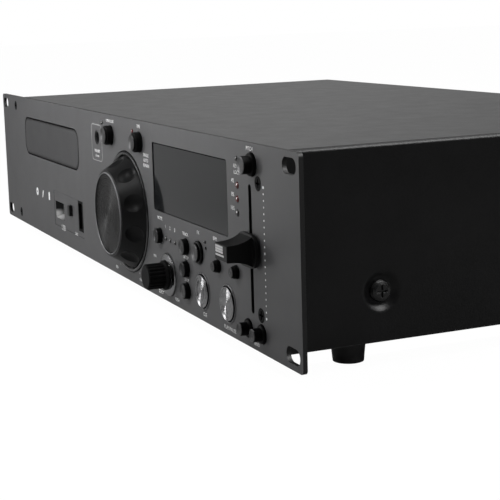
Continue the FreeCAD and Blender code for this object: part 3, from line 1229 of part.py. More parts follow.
# ---------------------------------------------------------------- spindle and optical pickup
def spindle_hub():
    """The turntable: a flat flange with a centring cone, bored on the motor's shaft."""
    seat = "hub_seat"
    disc = rod("hub_disc", "hub_radius", f"{seat} - spindle_top - seat_gap", "tray_x", "disc_y",
               "spindle_top + seat_gap", UPWARD)
    nose = cone("hub_nose", "hub_cone", "hub_cone * 0.7", "disc_recess * 1.4", "tray_x", "disc_y", seat, UPWARD)
    bore = rod("hub_bore", "rod_radius + running_gap", f"{seat} - spindle_top + frame_plate", "tray_x",
               "disc_y", "spindle_top", UPWARD)
    return node("spindle_hub", cut("hub_bored", join("hub_solid", [disc, nose]), [bore]))


def spindle_motor():
    can = rod("spindle_can", "spindle_can", "frame_floor + spindle_top - frame_plate", "tray_x", "disc_y",
              "-frame_floor", UPWARD)
    base = rod("spindle_foot", "spindle_can + frame_wall", "frame_plate", "tray_x", "disc_y",
               "-frame_floor - frame_plate", UPWARD)
    shaft = rod("spindle_shaft", "rod_radius", "hub_seat - seat_gap * 2 + frame_plate", "tray_x", "disc_y",
                "0", UPWARD)
    return node("spindle_motor", join("spindle_whole", [can, base, shaft]))


def guide_rods():
    return node("guide_rods", group("rod_pair", [
        rod(f"guide_rod_{number}", "rod_radius", "rod_length", f"tray_x {side} rod_pitch / 2", "rod_start",
            "rod_z") for number, side in enumerate("-+")]))


def optical_pickup():
    """The laser sled, notched around the spindle and bored for both guide rods."""
    half = "(rod_pitch / 2 + rod_block / 2)"
    y0 = "disc_y + pickup_start"
    sled = box("sled", f"tray_x - {half}", f"tray_x + {half}", y0, f"{y0} + pickup_length",
               "rod_z - pickup_height / 2", "rod_z + pickup_height / 2")
    turret = rod("lens_turret", "lens_radius", "pickup_height / 2 + disc_recess", "tray_x",
                 f"{y0} + lens_radius * 1.4", "rod_z + pickup_height / 2 - disc_recess", UPWARD)
    bores = [rod(f"sled_bore_{number}", "rod_radius + running_gap", "pickup_length",
                 f"tray_x {side} rod_pitch / 2", y0, "rod_z") for number, side in enumerate("-+")]
    bores.append(rod("sled_notch", "hub_radius + frame_wall", "pickup_height", "tray_x", "disc_y",
                     "rod_z - pickup_height / 2", UPWARD))
    bores.append(rod("lens_well", "lens_radius * 0.6", "disc_recess", "tray_x", f"{y0} + lens_radius * 1.4",
                     "rod_z + pickup_height - disc_recess * 0.5", UPWARD))
    return node("optical_pickup", cut("sled_bored", join("sled_solid", [sled, turret]), bores))


# ---------------------------------------------------------------- boards on the floor and rear parts
def floor_board(name, chips):
    """A board on its spacers with block-shaped parts: (dx, dy, width, depth, height)."""
    x, y = f"{name}_x", f"case_depth - {name}_back"
    pieces = [box(f"{name}_plate", f"{x} - {name}_width / 2", f"{x} + {name}_width / 2",
                  f"{y} - {name}_depth / 2", f"{y} + {name}_depth / 2", "board_z", "board_z + board_thick")]
    for number, (dx, dy, width, depth, height) in enumerate(chips):
        left, near = f"{x} + {name}_width * {dx}", f"{y} + {name}_depth * {dy}"
        pieces.append(box(f"{name}_chip_{number}", f"{left}", f"{left} + chip_size * {width}", near,
                          f"{near} + chip_size * {depth}", "board_z",
                          f"board_z + board_thick + chip_size * {height}"))
    return join(f"{name}_board", pieces)


def main_board():
    chips = ((-0.35, -0.2, 4, 4, 0.3), (0.05, -0.3, 3, 3, 0.3), (0.1, 0.15, 3, 1.5, 0.4),
             (-0.15, 0.2, 1.5, 1.5, 0.3), (-0.45, 0.1, 1, 5, 0.8), (0.35, -0.4, 1, 6, 0.8))
    return node("main_board", floor_board("main", chips))


def power_supply():
    chips = ((-0.42, 0.05, 6, 5.5, 5), (-0.42, -0.2, 1.6, 3, 3.5), (0.1, -0.3, 1.4, 1.4, 3))
    return node("power_supply", floor_board("supply", chips))


def line_sockets():
    """Four phono sockets and two mini sockets, each through the rear panel."""
    rear = "case_depth - cover_thick - rear_thick"
    sockets = []
    for number, (x, z) in enumerate(socket_places()):
        shell = rod(f"phono_shell_{number}", "socket_radius", "socket_length + rear_thick * 2", x,
                    f"{rear} - rear_thick", z)
        block = box(f"phono_block_{number}", f"{x} - socket_radius * 1.4", f"{x} + socket_radius * 1.4",
                    f"{rear} - socket_length", rear, f"{z} - socket_radius * 1.4", f"{z} + socket_radius * 1.4")
        bore = rod(f"phono_bore_{number}", "socket_radius * 0.42", "socket_length * 2", x,
                   f"{rear}", z)
        sockets.append(cut(f"phono_{number}", join(f"phono_solid_{number}", [shell, block]), [bore]))
    for number in (0, 1):
        x = f"mini_x + {number} * socket_pitch"
        shell = rod(f"mini_shell_{number}", "mini_radius", "rear_thick * 3", x, f"{rear} - rear_thick", 0)
        block = box(f"mini_block_{number}", f"{x} - mini_radius * 1.6", f"{x} + mini_radius * 1.6",
                    f"{rear} - socket_length", rear, "-mini_radius * 1.6", "mini_radius * 1.6")
        bore = rod(f"mini_bore_{number}", "mini_radius * 0.59", "socket_length", x,
                   f"{rear} - rear_thick * 3", 0)
        sockets.append(cut(f"mini_{number}", join(f"mini_solid_{number}", [shell, block]), [bore]))
    return node("line_sockets", group("socket_group", sockets))


def mains_inlet():
    """The inlet: flange outside, body through the panel, cavity with three pins."""
    rear = "case_depth - cover_thick"
    half_w, half_h = "inlet_width / 2 - seat_gap", "inlet_height / 2 - seat_gap"
    flange = box("inlet_flange", f"inlet_x - ({half_w}) - frame_wall", f"inlet_x + {half_w} + frame_wall",
                 rear, f"{rear} + frame_wall", f"-({half_h}) - frame_wall", f"{half_h} + frame_wall")
    body = box("inlet_body", f"inlet_x - ({half_w})", f"inlet_x + {half_w}", f"{rear} - inlet_depth", rear,
               f"-({half_h})", half_h)
    cavity = box("inlet_cavity", "inlet_x - inlet_cavity_w / 2", "inlet_x + inlet_cavity_w / 2",
                 f"{rear} + frame_wall - inlet_cavity_d", f"{rear} + frame_wall",
                 "-inlet_cavity_h / 2", "inlet_cavity_h / 2")
    pins = []
    for number, (x, z) in enumerate(((-7, -2), (0, 2), (7, -2))):
        pins.append(box(f"inlet_pin_{number}", f"inlet_x + pin_radius * ({x} / 1.5) - pin_radius * 0.6",
                        f"inlet_x + pin_radius * ({x} / 1.5) + pin_radius * 0.6",
                        f"{rear} + frame_wall - inlet_cavity_d - frame_wall",
                        f"{rear} + frame_wall - frame_wall * 2.6",
                        f"pin_radius * ({z} / 1.5 - 1.3)", f"pin_radius * ({z} / 1.5 + 1.3)"))
    hollow = cut("inlet_hollow", join("inlet_solid", [flange, body]), [cavity])
    return node("mains_inlet", join("inlet_whole", [hollow] + pins))


def power_switch():
    """The rocker's housing: flange outside and an open box through the panel."""
    rear = "case_depth - cover_thick"
    half_w, half_h = "power_width / 2 - seat_gap", "power_height / 2 - seat_gap"
    flange = box("power_flange", f"switch_x - ({half_w}) - base_thick", f"switch_x + {half_w} + base_thick",
                 rear, f"{rear} + base_thick", f"-({half_h}) - base_thick", f"{half_h} + base_thick")
    body = box("power_body", f"switch_x - ({half_w})", f"switch_x + {half_w}", f"{rear} - power_depth", rear,
               f"-({half_h})", half_h)
    well = box("power_well", "switch_x - rocker_width / 2 - seat_gap", "switch_x + rocker_width / 2 + seat_gap",
               f"{rear} - power_depth * 0.7", "case_depth + frame_wall", "-rocker_radius - seat_gap * 1.5",
               "rocker_radius + seat_gap * 1.5")
    pivot = rod("rocker_pivot", "pin_radius", "power_width - seat_gap * 4",
                "switch_x - power_width / 2 + seat_gap * 2", ROCKER_Y, 0, TO_RIGHT)
    return node("power_switch", join("power_whole", [cut("power_hollow", join("power_solid", [flange, body]),
                                                         [well]), pivot]))


ROCKER_Y = "case_depth - power_depth * 0.35"


def power_rocker():
    """The two-faced rocker, tilted on its pivot."""
    body = new_body("rocker_body")
    half = "rocker_radius"
    profile = Profile(body, "rocker_profile", "YZ_Plane", "-rocker_width / 2")
    profile.polygon(("-pin_radius * 2", f"-{half} * 0.45"), ("rocker_face", f"-{half} * 0.86"),
                    ("rocker_face - rocker_dish", 0), ("rocker_face", f"{half} * 0.86"),
                    ("-pin_radius * 2", f"{half} * 0.45"))
    pad(body, profile, "rocker_width", "rocker_pad")
    put(body, "switch_x", ROCKER_Y, 0, Rotation(Vector(1, 0, 0), value("rocker_tilt")))
    bore = rod("rocker_bore", "pin_radius + running_gap", "rocker_width * 2",
               "switch_x - rocker_width", ROCKER_Y, 0, TO_RIGHT)
    return node("power_rocker", cut("rocker_bored", body, [bore]))


# ---------------------------------------------------------------- build and write
def main():
    """Make every sub-part, check it and write its file."""
    makers = (front_panel, top_cover, chassis_base, rear_panel, rubber_feet, foot_screws, cover_screws,
              panel_screws, media_insert, usb_port, card_slot, media_button, headphone_jack,
               jog_ring, jog_bearing, jog_wheel, jog_cap, jog_spindle, display_window,
              lcd_module, control_boards, tact_switches, lamps, button_bezels, encoder_body,
              encoder_knob, fader_body, fader_stem, fader_cap, disc_tray, tray_door,
              loader_frame, tray_gear, loader_motor, motor_pulley, drive_belt, spindle_hub,
              spindle_motor, guide_rods, optical_pickup, main_board, power_supply, line_sockets,
              mains_inlet, power_switch, power_rocker)
    for make in makers:
        make()
    for name, *_ in BUTTONS:
        push_button(name)
    for name, *_ in COLLARED:
        collared_button(name)
    doc.recompute()
    for obj in doc.Objects:
        assert not {"Invalid", "Error"} & set(obj.State), f"{obj.Label}: {obj.State}"
    for name, obj in PARTS.items():
        assert not obj.Shape.isNull() and obj.Shape.isValid(), f"{name} has no valid shape"
    os.makedirs("parts", exist_ok=True)
    for name, obj in PARTS.items():
        obj.Shape.exportStep(f"parts/{name}.step")


main()
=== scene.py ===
"""Looks of a rack-mount disc player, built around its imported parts.

Materials, printed legends, small details, floor, lights and camera. Lengths
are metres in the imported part's frame: +X right, +Y to the rear, +Z up.
"""
import json
import logging
import math
from dataclasses import dataclass, field, replace
from enum import Enum
from typing import Callable, Optional, Sequence, Union

import bmesh
import bpy
from mathutils import Euler, Matrix, Vector

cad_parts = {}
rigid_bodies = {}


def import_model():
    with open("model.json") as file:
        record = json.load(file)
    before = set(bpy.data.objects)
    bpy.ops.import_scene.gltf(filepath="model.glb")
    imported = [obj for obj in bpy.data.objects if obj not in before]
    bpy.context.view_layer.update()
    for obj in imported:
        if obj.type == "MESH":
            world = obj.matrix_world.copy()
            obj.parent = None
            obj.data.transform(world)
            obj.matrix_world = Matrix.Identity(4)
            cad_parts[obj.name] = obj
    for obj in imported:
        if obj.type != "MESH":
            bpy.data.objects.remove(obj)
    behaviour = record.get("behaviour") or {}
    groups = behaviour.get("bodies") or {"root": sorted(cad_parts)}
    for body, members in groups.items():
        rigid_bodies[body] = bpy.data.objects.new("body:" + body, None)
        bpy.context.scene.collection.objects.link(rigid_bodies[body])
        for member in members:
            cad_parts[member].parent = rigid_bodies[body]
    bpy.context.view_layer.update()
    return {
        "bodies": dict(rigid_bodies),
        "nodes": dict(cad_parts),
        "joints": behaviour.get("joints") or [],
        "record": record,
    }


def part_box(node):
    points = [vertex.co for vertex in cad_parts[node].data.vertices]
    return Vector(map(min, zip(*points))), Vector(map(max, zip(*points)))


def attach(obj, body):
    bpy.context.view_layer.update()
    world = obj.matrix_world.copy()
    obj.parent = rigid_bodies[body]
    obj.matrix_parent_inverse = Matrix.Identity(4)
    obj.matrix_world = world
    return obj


LOG = logging.getLogger("disc_player")
MM = 0.001
Colour = tuple[float, float, float]
Point = tuple[float, float, float]
Pair = tuple[float, float]
Operand = Union["Wire", float]

# the colour sockets of a mix node
MIX_FIRST, MIX_SECOND, MIX_RESULT = 6, 7, 2
BEVEL_SAMPLES = 4
# worn edges and painted edge highlights: how many roundings they reach inwards, the normal's turn, and the
# wear patches' size and share
WEAR_REACH = 2.5
WEAR_TURN = (0.995, 0.9)
WEAR_PATCH = 6 * MM
WEAR_SHARE = (0.42, 0.66)
WEAR_ROUGHER = 0.08
# how much lighter worn edges and painted edge highlights are than the paint
WEAR_AND_HIGHLIGHT_LIGHTER = 2.2
# sizes of the mottling, the smudges and the grooves that turning leaves
CLOUD = 25 * MM
SMUDGE = 14 * MM
GROOVE = 0.06 * MM
COAT_ROUGH = 0.12
CLEAR_SHARE, CLEAR_INDEX = 0.25, 1.49
# the door's chamfer, which shapes the bump and a painted shade on the colour: its corner radius, its width
# and its depth
DOOR_CORNER, DOOR_CHAMFER, DOOR_DROP = 7.6 * MM, 1.6 * MM, 0.5 * MM
# button collars above this height are dark
DARK_COLLARS = -19 * MM
# the painted highlight in the media mouth: where it starts and is full, across, inwards, from the top and
# the foot
GLOW_ACROSS, GLOW_INWARDS = (-94 * MM, -107 * MM), (5.5 * MM, 1.5 * MM)
GLOW_TOP, GLOW_FOOT = (-23.4 * MM, -25.8 * MM), (-31.5 * MM, -27.5 * MM)
GLOW_FRONT = 0.3 * MM
# the red lamps: the pitch lamps' left edge and heights, and the time lamp's span
PITCH_LAMPS_X, PITCH_LAMPS_Z = 179.5 * MM, (15.5 * MM, 30.0 * MM)
TIME_LAMP_X = (40 * MM, 50 * MM)
# circuit boards: a patch of tracks in x, y and z, the angle that its wave runs through, the pads' size
PATCH_X, PATCH_Y, PATCH_Z = 2.2 * MM, 3.1 * MM, 2.7 * MM
PATCH_WAVE = 12.0
PAD = 2.5 * MM
# how thick printed ink is, and the font size for a capital of height 1
INK = 0.03 * MM
FONT_SIZE = 1.55
# corners nearer than this are joined
SEAM = 0.001 * MM
# corners and faces are listed along this direction, so that every run lists them alike
LISTING = Vector((1.0, math.pi, math.e))


# ---------------------------------------------------------------- shader wiring
class Wire:
    """An output of a shader node that can be used in sums."""

    def __init__(self, graph: "Graph", socket: bpy.types.NodeSocket) -> None:
        """Keep the node tree and the output.

        Args:
            graph: the tree that the node is in.
            socket: the node's output.
        """
        self.graph = graph
        self.socket = socket

    def _math(self, operation: str, *others: Operand, clamp: bool = False) -> "Wire":
        """Add a math node.

        Args:
            operation: the node's operation.
            others: the further operands.
            clamp: keep the result between 0 and 1.

        Returns:
            The result.
        """
        made = self.graph.node("ShaderNodeMath", {0: self, **dict(enumerate(others, 1))},
                               operation=operation, use_clamp=clamp)
        return Wire(self.graph, made.outputs[0])

    def __add__(self, other: Operand) -> "Wire":
        """Return the sum."""
        return self._math("ADD", other)

    def __radd__(self, other: float) -> "Wire":
        """Return the sum with a number in front."""
        return self._math("ADD", other)

    def __sub__(self, other: Operand) -> "Wire":
        """Return the difference."""
        return self._math("SUBTRACT", other)

    def __rsub__(self, other: float) -> "Wire":
        """Return a number less this value."""
        return self._math("MULTIPLY_ADD", -1.0, other)

    def __mul__(self, other: Operand) -> "Wire":
        """Return the product."""
        return self._math("MULTIPLY", other)

    def __rmul__(self, other: float) -> "Wire":
        """Return the product with a number in front."""
        return self._math("MULTIPLY", other)

    def __truediv__(self, other: Operand) -> "Wire":
        """Return the quotient."""
        return self._math("DIVIDE", other)

    def __pow__(self, other: Operand) -> "Wire":
        """Return the power."""
        return self._math("POWER", other)

    def __gt__(self, other: Operand) -> "Wire":
        """Return 1 where this is the greater, else 0."""
        return self._math("GREATER_THAN", other)

    def __lt__(self, other: Operand) -> "Wire":
        """Return 1 where this is the smaller, else 0."""
        return self._math("LESS_THAN", other)

    def sine(self) -> "Wire":
        """Return the sine."""
        return self._math("SINE")

    def absolute(self) -> "Wire":
        """Return the size without the sign."""
        return self._math("ABSOLUTE")

    def at_least(self, lowest: float) -> "Wire":
        """Return the value, or lowest where it is below that."""
        return self._math("MAXIMUM", lowest)

    def floor(self) -> "Wire":
        """Return the next lower whole number."""
        return self._math("FLOOR")

    def clamped(self) -> "Wire":
        """Return the value kept between 0 and 1."""
        return self._math("ADD", 0.0, clamp=True)

    def ramp(self, low: float, high: float) -> "Wire":
        """Rise from 0 at low to 1 at high.

        Args:
            low: the value that gives 0.
            high: the value that gives 1.

        Returns:
            The ramp, kept between 0 and 1.
        """
        return self._math("MULTIPLY_ADD", 1.0 / (high - low), -low / (high - low), clamp=True)


class Graph:
    """The node tree of one material or world."""

    def __init__(self, tree: bpy.types.NodeTree) -> None:
        """Take over a tree and clear it."""
        self.tree = tree
        tree.nodes.clear()

    def node(self, kind: str, inputs: Optional[dict] = None, **settings: object) -> bpy.types.Node:
        """Make any node.

        Args:
            kind: the node's Blender type.
            inputs: input name or number to a wire, a socket or a constant.
            settings: the node's properties.

        Returns:
            The node.
        """
        made = self.tree.nodes.new(kind)
        for name, setting in settings.items():
            setattr(made, name, setting)
        for name, source in (inputs or {}).items():
            target = made.inputs[name]
            if isinstance(source, Wire):
                self.tree.links.new(source.socket, target)
            elif isinstance(source, bpy.types.NodeSocket):
                self.tree.links.new(source, target)
            else:
                target.default_value = source
        return made

    def place(self, scale: Sequence[float] = (1, 1, 1), centre: Sequence[float] = (0, 0, 0)) -> Wire:
        """Take object coordinates, moved to a centre and stretched.

        Args:
            scale: how far each axis is stretched.
            centre: the place that becomes the origin.

        Returns:
            The coordinates.
        """
        source = self.node("ShaderNodeTexCoord").outputs["Object"]
        moved = self.node("ShaderNodeVectorMath", {0: source, 1: tuple(centre)}, operation="SUBTRACT")
        made = self.node("ShaderNodeMapping", {"Vector": moved.outputs[0], "Scale": tuple(scale)})
        return Wire(self, made.outputs[0])

    def parts(self, vector: Wire) -> tuple[Wire, Wire, Wire]:
        """Split a vector into x, y and z."""
        made = self.node("ShaderNodeSeparateXYZ", {0: vector})
        return tuple(Wire(self, output) for output in made.outputs)

    def noise(self, vector: Wire, size: float, detail: float = 2.0, rough: float = 0.5) -> Wire:
        """Make cloudy noise.

        Args:
            vector: where it is looked up.
            size: about how large its blobs are, in metres.
            detail: how many finer layers it has.
            rough: how strong those are.

        Returns:
            The noise, between 0 and 1.
        """
        made = self.node("ShaderNodeTexNoise", {
            "Vector": vector, "Scale": 1.0 / size, "Detail": detail, "Roughness": rough})
        return Wire(self, made.outputs[0])

    def hashed(self, number: Wire) -> Wire:
        """Return an even random number for each whole number."""
        made = self.node("ShaderNodeTexWhiteNoise", {"W": number}, noise_dimensions="1D")
        return Wire(self, made.outputs["Value"])

    def blend(self, amount: Operand, first: object, second: object) -> Wire:
        """Mix two colours.

        Args:
            amount: 0 for the first, 1 for the second.
            first: a colour or a wire.
            second: a colour or a wire.

        Returns:
            The mixed colour.
        """
        inputs = {0: amount, MIX_FIRST: _colour(first), MIX_SECOND: _colour(second)}
        made = self.node("ShaderNodeMix", inputs, data_type="RGBA", clamp_factor=True)
        return Wire(self, made.outputs[MIX_RESULT])


def _colour(value: object) -> object:
    """Give a plain colour its alpha and pass a wire on."""
    return (*value, 1.0) if isinstance(value, tuple) else value


# ---------------------------------------------------------------- finishes
class Pattern(Enum):
    """How a surface was made, or where a painted highlight or painted shade lies on it."""

    POWDER = "powder coat"
    MOULDED = "moulded"
    SPUN = "spun about Y"
    BRUSHED = "brushed along X"
    BOARD = "circuit board"
    LAMPS = "lamp lenses"
    CLEAR = "clear plate"
    BEZELS = "button bezels"
    # SCOOP lays a painted highlight in the media mouth; DOOR lays painted shade along the door's chamfer
    SCOOP = "painted plate with a bright scoop"
    DOOR = "painted door with a dark chamfer"


@dataclass(frozen=True)
class Finish:
    """What a surface looks like.

    Attributes:
        name: the material's name.
        colour: the base colour.
        rough: the middle roughness.
        pattern: how the surface was made, or where a painted highlight or painted shade lies on it.
        metal: 1 for metal.
        specular: how strongly the surface mirrors.
        variation: how far the colour is mottled.
        grain: the size of the relief.
        relief: the height of the relief.
        spread: how far smudges change the roughness.
        wear: how far the worn edges turn to their lighter colour; on the casing this also sets a painted
            highlight along the bends.
        round: the radius of the rounded edges.
        centre: the middle of a spun pattern.
        coat: the weight of a clear coat.
        second: the pattern's other colour: the lamps' red, the dark upper collars, the painted shade on the
            door's chamfer and the painted highlight in the media mouth.
        behind: the finish further back than split.
        split: the y where the finish changes.
        swing: how far spun grooves tilt.
        dome: how far a spun face curves, per metre.
        painted_highlight_share: the share of the edge mask that isn't patchy, which makes a continuous
            painted highlight along the edges.
        wear_and_highlight_lift: how much lighter a worn edge or a painted edge highlight is.
    """

    name: str
    colour: Colour
    rough: float
    pattern: Pattern = Pattern.MOULDED
    metal: float = 0.0
    specular: float = 0.5
    variation: float = 0.12
    grain: float = 0.5 * MM
    relief: float = 0.02 * MM
    spread: float = 0.06
    wear: float = 0.25
    round: float = 0.25 * MM
    centre: Point = (0.0, 0.0, 0.0)
    coat: float = 0.0
    second: Optional[Colour] = None
    behind: Optional["Finish"] = None
    split: float = 0.0
    swing: float = 0.55
    dome: float = 0.0
    painted_highlight_share: float = 0.0
    wear_and_highlight_lift: float = 0.03

    def material(self) -> bpy.types.Material:
        """Return this finish's material, made once."""
        known = bpy.data.materials.get(self.name)
        return known or FinishBuilder(self).build()


class FinishBuilder:
    """Builds one finish's node tree."""

    def __init__(self, finish: Finish) -> None:
        """Start the material of one finish.

        Args:
            finish: what to build.
        """
        self.finish = finish
        self.material = bpy.data.materials.new(finish.name)
        self.material.use_nodes = True
        self.graph = Graph(self.material.node_tree)
        self.here = self.graph.place(centre=finish.centre)
        depth = self.graph.parts(self.here)[1]
        self.deep: Operand = depth > finish.split if finish.behind else 0.0

    def edges(self) -> tuple[Wire, Wire]:
        """Round the edges, and find where they are worn; a painted highlight share makes the mask run all
        along them.

        Returns:
            The rounded normal, and a mask that is 1 on worn edges and on the painted highlight along them.
        """
        graph = self.graph
        soft = graph.node("ShaderNodeBevel", {"Radius": self.finish.round}, samples=BEVEL_SAMPLES)
        normal = graph.node("ShaderNodeNewGeometry").outputs["Normal"]
        reach = self.finish.round * WEAR_REACH
        wide = graph.node("ShaderNodeBevel", {"Radius": reach}, samples=BEVEL_SAMPLES)
        across = graph.node("ShaderNodeVectorMath", {0: wide.outputs[0], 1: normal}, operation="DOT_PRODUCT")
        mask = Wire(graph, across.outputs["Value"]).ramp(*WEAR_TURN)
        patchy = graph.noise(self.here, WEAR_PATCH, 3.0, 0.6).ramp(*WEAR_SHARE)
        if self.finish.painted_highlight_share:
            patchy = patchy * (1.0 - self.finish.painted_highlight_share) + self.finish.painted_highlight_share
        return Wire(graph, soft.outputs[0]), mask * patchy

    def rings(self) -> Wire:
        """Tilt the surface by the fine grooves that turning leaves round the Y axis.

        Returns:
            What is added to the normal.
        """
        graph = self.graph
        x, _, z = graph.parts(self.here)
        radius = (x * x + z * z) ** 0.5
        groove = graph.hashed((radius / GROOVE).floor())
        tilt = (groove - 0.5) * self.finish.swing + radius * self.finish.dome
        if self.finish.behind:
            tilt = tilt * (1.0 - self.deep)
        radial = graph.node("ShaderNodeCombineXYZ", {0: x / radius * tilt, 1: 0.0, 2: z / radius * tilt})
        turned = graph.node("ShaderNodeVectorTransform", {0: radial.outputs[0]}, vector_type="VECTOR",
                            convert_from="OBJECT", convert_to="WORLD")
        return Wire(graph, turned.outputs[0])

    def relief(self) -> Wire:
        """Pick the relief that suits how the surface was made.

        Returns:
            The height, about 0 to 1.
        """
        graph, finish = self.graph, self.finish
        if finish.pattern is Pattern.BRUSHED:
            stretched = graph.place((0.02, 1.0, 1.0), finish.centre)
            return graph.noise(stretched, finish.grain, 4.0, 0.7)
        if finish.pattern is Pattern.DOOR:
            paint = graph.noise(self.here, finish.grain, 3.0, 0.6)
            return paint - self.chamfer() * (DOOR_DROP / finish.relief)
        if finish.pattern is Pattern.POWDER:
            pebbles = graph.node("ShaderNodeTexVoronoi", {"Vector": self.here, "Scale": 1.0 / finish.grain},
                                 feature="SMOOTH_F1")
            return Wire(graph, pebbles.outputs["Distance"]) + graph.noise(self.here, finish.grain * 4) * 0.7
        return graph.noise(self.here, finish.grain, 3.0, 0.6)

    def tint(self, wear_and_highlight: Wire, finish: Finish) -> Wire:
        """Return a finish's colour with its mottling, worn edges, painted edge highlight, and the painted
        highlight or painted shade of its pattern.

        Args:
            wear_and_highlight: the mask of worn edges and of the painted highlight along them.
            finish: this finish, or the one behind it.

        Returns:
            The colour.
        """
        graph = self.graph
        cloud = graph.noise(self.here, CLOUD, 4.0, 0.55)
        dark = tuple(part * (1 - finish.variation) for part in finish.colour)
        light = tuple(min(part * (1 + finish.variation), 1.0) for part in finish.colour)
        base = graph.blend(cloud.ramp(0.3, 0.7), dark, light)
        if finish.pattern is Pattern.BOARD:
            base = self.board(base)
        if finish.pattern is Pattern.LAMPS:
            base = self.lamp_colours(base)
        # painted highlight on the media mouth's lower left wall
        if finish.pattern is Pattern.SCOOP:
            base = graph.blend(self.scoop_painted_highlight(), base, finish.second)
        # painted shade along the door's chamfer
        if finish.pattern is Pattern.DOOR:
            base = graph.blend(self.chamfer(), base, finish.second)
        if finish.pattern is Pattern.BEZELS:
            base = graph.blend(graph.parts(self.here)[2] > DARK_COLLARS, base, finish.second)
        wear_and_highlight_lift = tuple(min(part * WEAR_AND_HIGHLIGHT_LIGHTER + finish.wear_and_highlight_lift, 1.0) for part in finish.colour)
        return graph.blend(wear_and_highlight * finish.wear, base, wear_and_highlight_lift)

    def scoop_painted_highlight(self) -> Wire:
        """Find where a painted highlight goes on the mouth's lower left side.

        Returns:
            A mask that is 1 in the painted highlight.
        """
        x, y, z = self.graph.parts(self.here)
        glow = z.ramp(*GLOW_TOP) * z.ramp(*GLOW_FOOT) * y.ramp(*GLOW_INWARDS)
        return x.ramp(*GLOW_ACROSS) * (y > GLOW_FRONT) * glow

    def chamfer(self) -> Wire:
        """Find the chamfer along the door's rounded outline, which lowers the bump and carries a painted
        shade.

        Returns:
            A mask that is 1 at the outline and fades inwards.
        """
        low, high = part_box("tray_door")
        half, corner = (high - low) / 2, DOOR_CORNER
        x, _, z = self.graph.parts(self.graph.place(centre=(low + high) / 2))
        across = (x.absolute() - (half.x - corner)).at_least(0.0)
        upward = (z.absolute() - (half.z - corner)).at_least(0.0)
        reach = (across * across + upward * upward) ** 0.5
        return reach.ramp(corner - DOOR_CHAMFER, corner)

    def board(self, base: Wire) -> Wire:
        """Lay copper tracks and pale pads over the laminate.

        Args:
            base: the laminate's colour.

        Returns:
            The board's colour.
        """
        graph = self.graph
        x, y, z = graph.parts(self.here)
        cell = (x / PATCH_X).floor() + (y / PATCH_Y + z / PATCH_Z).floor() * 37.0
        tracks = (graph.hashed(cell) > 0.72) * ((x / PATCH_X) * PATCH_WAVE).sine().ramp(-0.2, 0.2)
        lines = graph.blend(tracks * 0.7, base, (0.06, 0.24, 0.1))
        pads = graph.noise(self.here, PAD, 0.0).ramp(0.68, 0.7)
        return graph.blend(pads, lines, (0.55, 0.52, 0.42))

    def lamp_colours(self, base: Wire) -> Wire:
        """Tint the pitch lamps and the time lamp red, and leave the others smoked.

        Args:
            base: the smoked lenses' colour.

        Returns:
            The lenses' colour.
        """
        graph = self.graph
        x, _, z = graph.parts(self.here)
        pitch = (x > PITCH_LAMPS_X) * (z > PITCH_LAMPS_Z[0]) * (z < PITCH_LAMPS_Z[1])
        time = (x > TIME_LAMP_X[0]) * (x < TIME_LAMP_X[1])
        return graph.blend((pitch + time).clamped(), base, self.finish.second)

    def build(self) -> bpy.types.Material:
        """Wire up the shader.

        Returns:
            The material.
        """
        graph, finish = self.graph, self.finish
        rounded, wear_and_highlight = self.edges()
        height = self.relief()
        bump = graph.node("ShaderNodeBump", {"Strength": 1.0, "Distance": finish.relief, "Height": height,
                                             "Normal": rounded})
        normal = Wire(graph, bump.outputs[0])
        if finish.pattern is Pattern.SPUN:
            total = graph.node("ShaderNodeVectorMath", {0: normal, 1: self.rings()}, operation="ADD")
            unit = graph.node("ShaderNodeVectorMath", {0: total.outputs[0]}, operation="NORMALIZE")
            normal = Wire(graph, unit.outputs[0])
        smudge = graph.noise(self.here, SMUDGE, 5.0, 0.65)
        rough = (smudge - 0.5) * (finish.spread * 2) + finish.rough + wear_and_highlight * WEAR_ROUGHER
        colour, metal = self.tint(wear_and_highlight, finish), finish.metal
        if finish.behind:
            colour = graph.blend(self.deep, colour, self.tint(wear_and_highlight, finish.behind))
            rough = rough + self.deep * (finish.behind.rough - finish.rough)
            metal = self.deep * (finish.behind.metal - finish.metal) + finish.metal
        shader = graph.node("ShaderNodeBsdfPrincipled", {
            "Base Color": colour, "Roughness": rough.clamped(), "Metallic": metal,
            "Specular IOR Level": finish.specular, "Coat Weight": finish.coat, "Coat Roughness": COAT_ROUGH,
            "Normal": normal})
        if finish.pattern is Pattern.CLEAR:
            shader.inputs["Transmission Weight"].default_value = CLEAR_SHARE
            shader.inputs["IOR"].default_value = CLEAR_INDEX
        graph.node("ShaderNodeOutputMaterial", {"Surface": shader.outputs[0]})
        return self.material


DARK = Finish("dark_plastic", (0.002, 0.002, 0.0021), 0.5, specular=0.05, wear=0.05)
# black on the panel's cut edges and the walls of its holes: painted shade where those walls lie in shadow
PAINTED_SHADE_EDGE = replace(DARK, name="cut_edge_painted_shade")
SKIRT = Finish("bright_skirt", (0.26, 0.26, 0.265), 0.22, metal=1.0, wear=0.1)
PANEL = Finish("panel_grey", (0.064, 0.064, 0.066), 0.46, Pattern.POWDER, specular=0.36, grain=0.35 * MM,
               relief=0.006 * MM, variation=0.06, spread=0.04, wear=0.3, behind=PAINTED_SHADE_EDGE, split=0.1 * MM)
# the door's second colour is a painted shade that darkens it along the chamfer
DOOR = replace(PANEL, name="door_grey", pattern=Pattern.DOOR, colour=(0.04, 0.04, 0.0415), specular=0.24,
               second=(0.008, 0.008, 0.008), round=0.8 * MM, wear=0.0)
# the media mouth's walls take the black painted shade of the cut edges, and the second colour is a painted
# highlight on their lower left side
INSERT = replace(PANEL, name="insert_grey", split=0.3 * MM,
                 behind=replace(PAINTED_SHADE_EDGE, name="scoop_painted_highlight", pattern=Pattern.SCOOP, second=(0.5, 0.5, 0.5)))
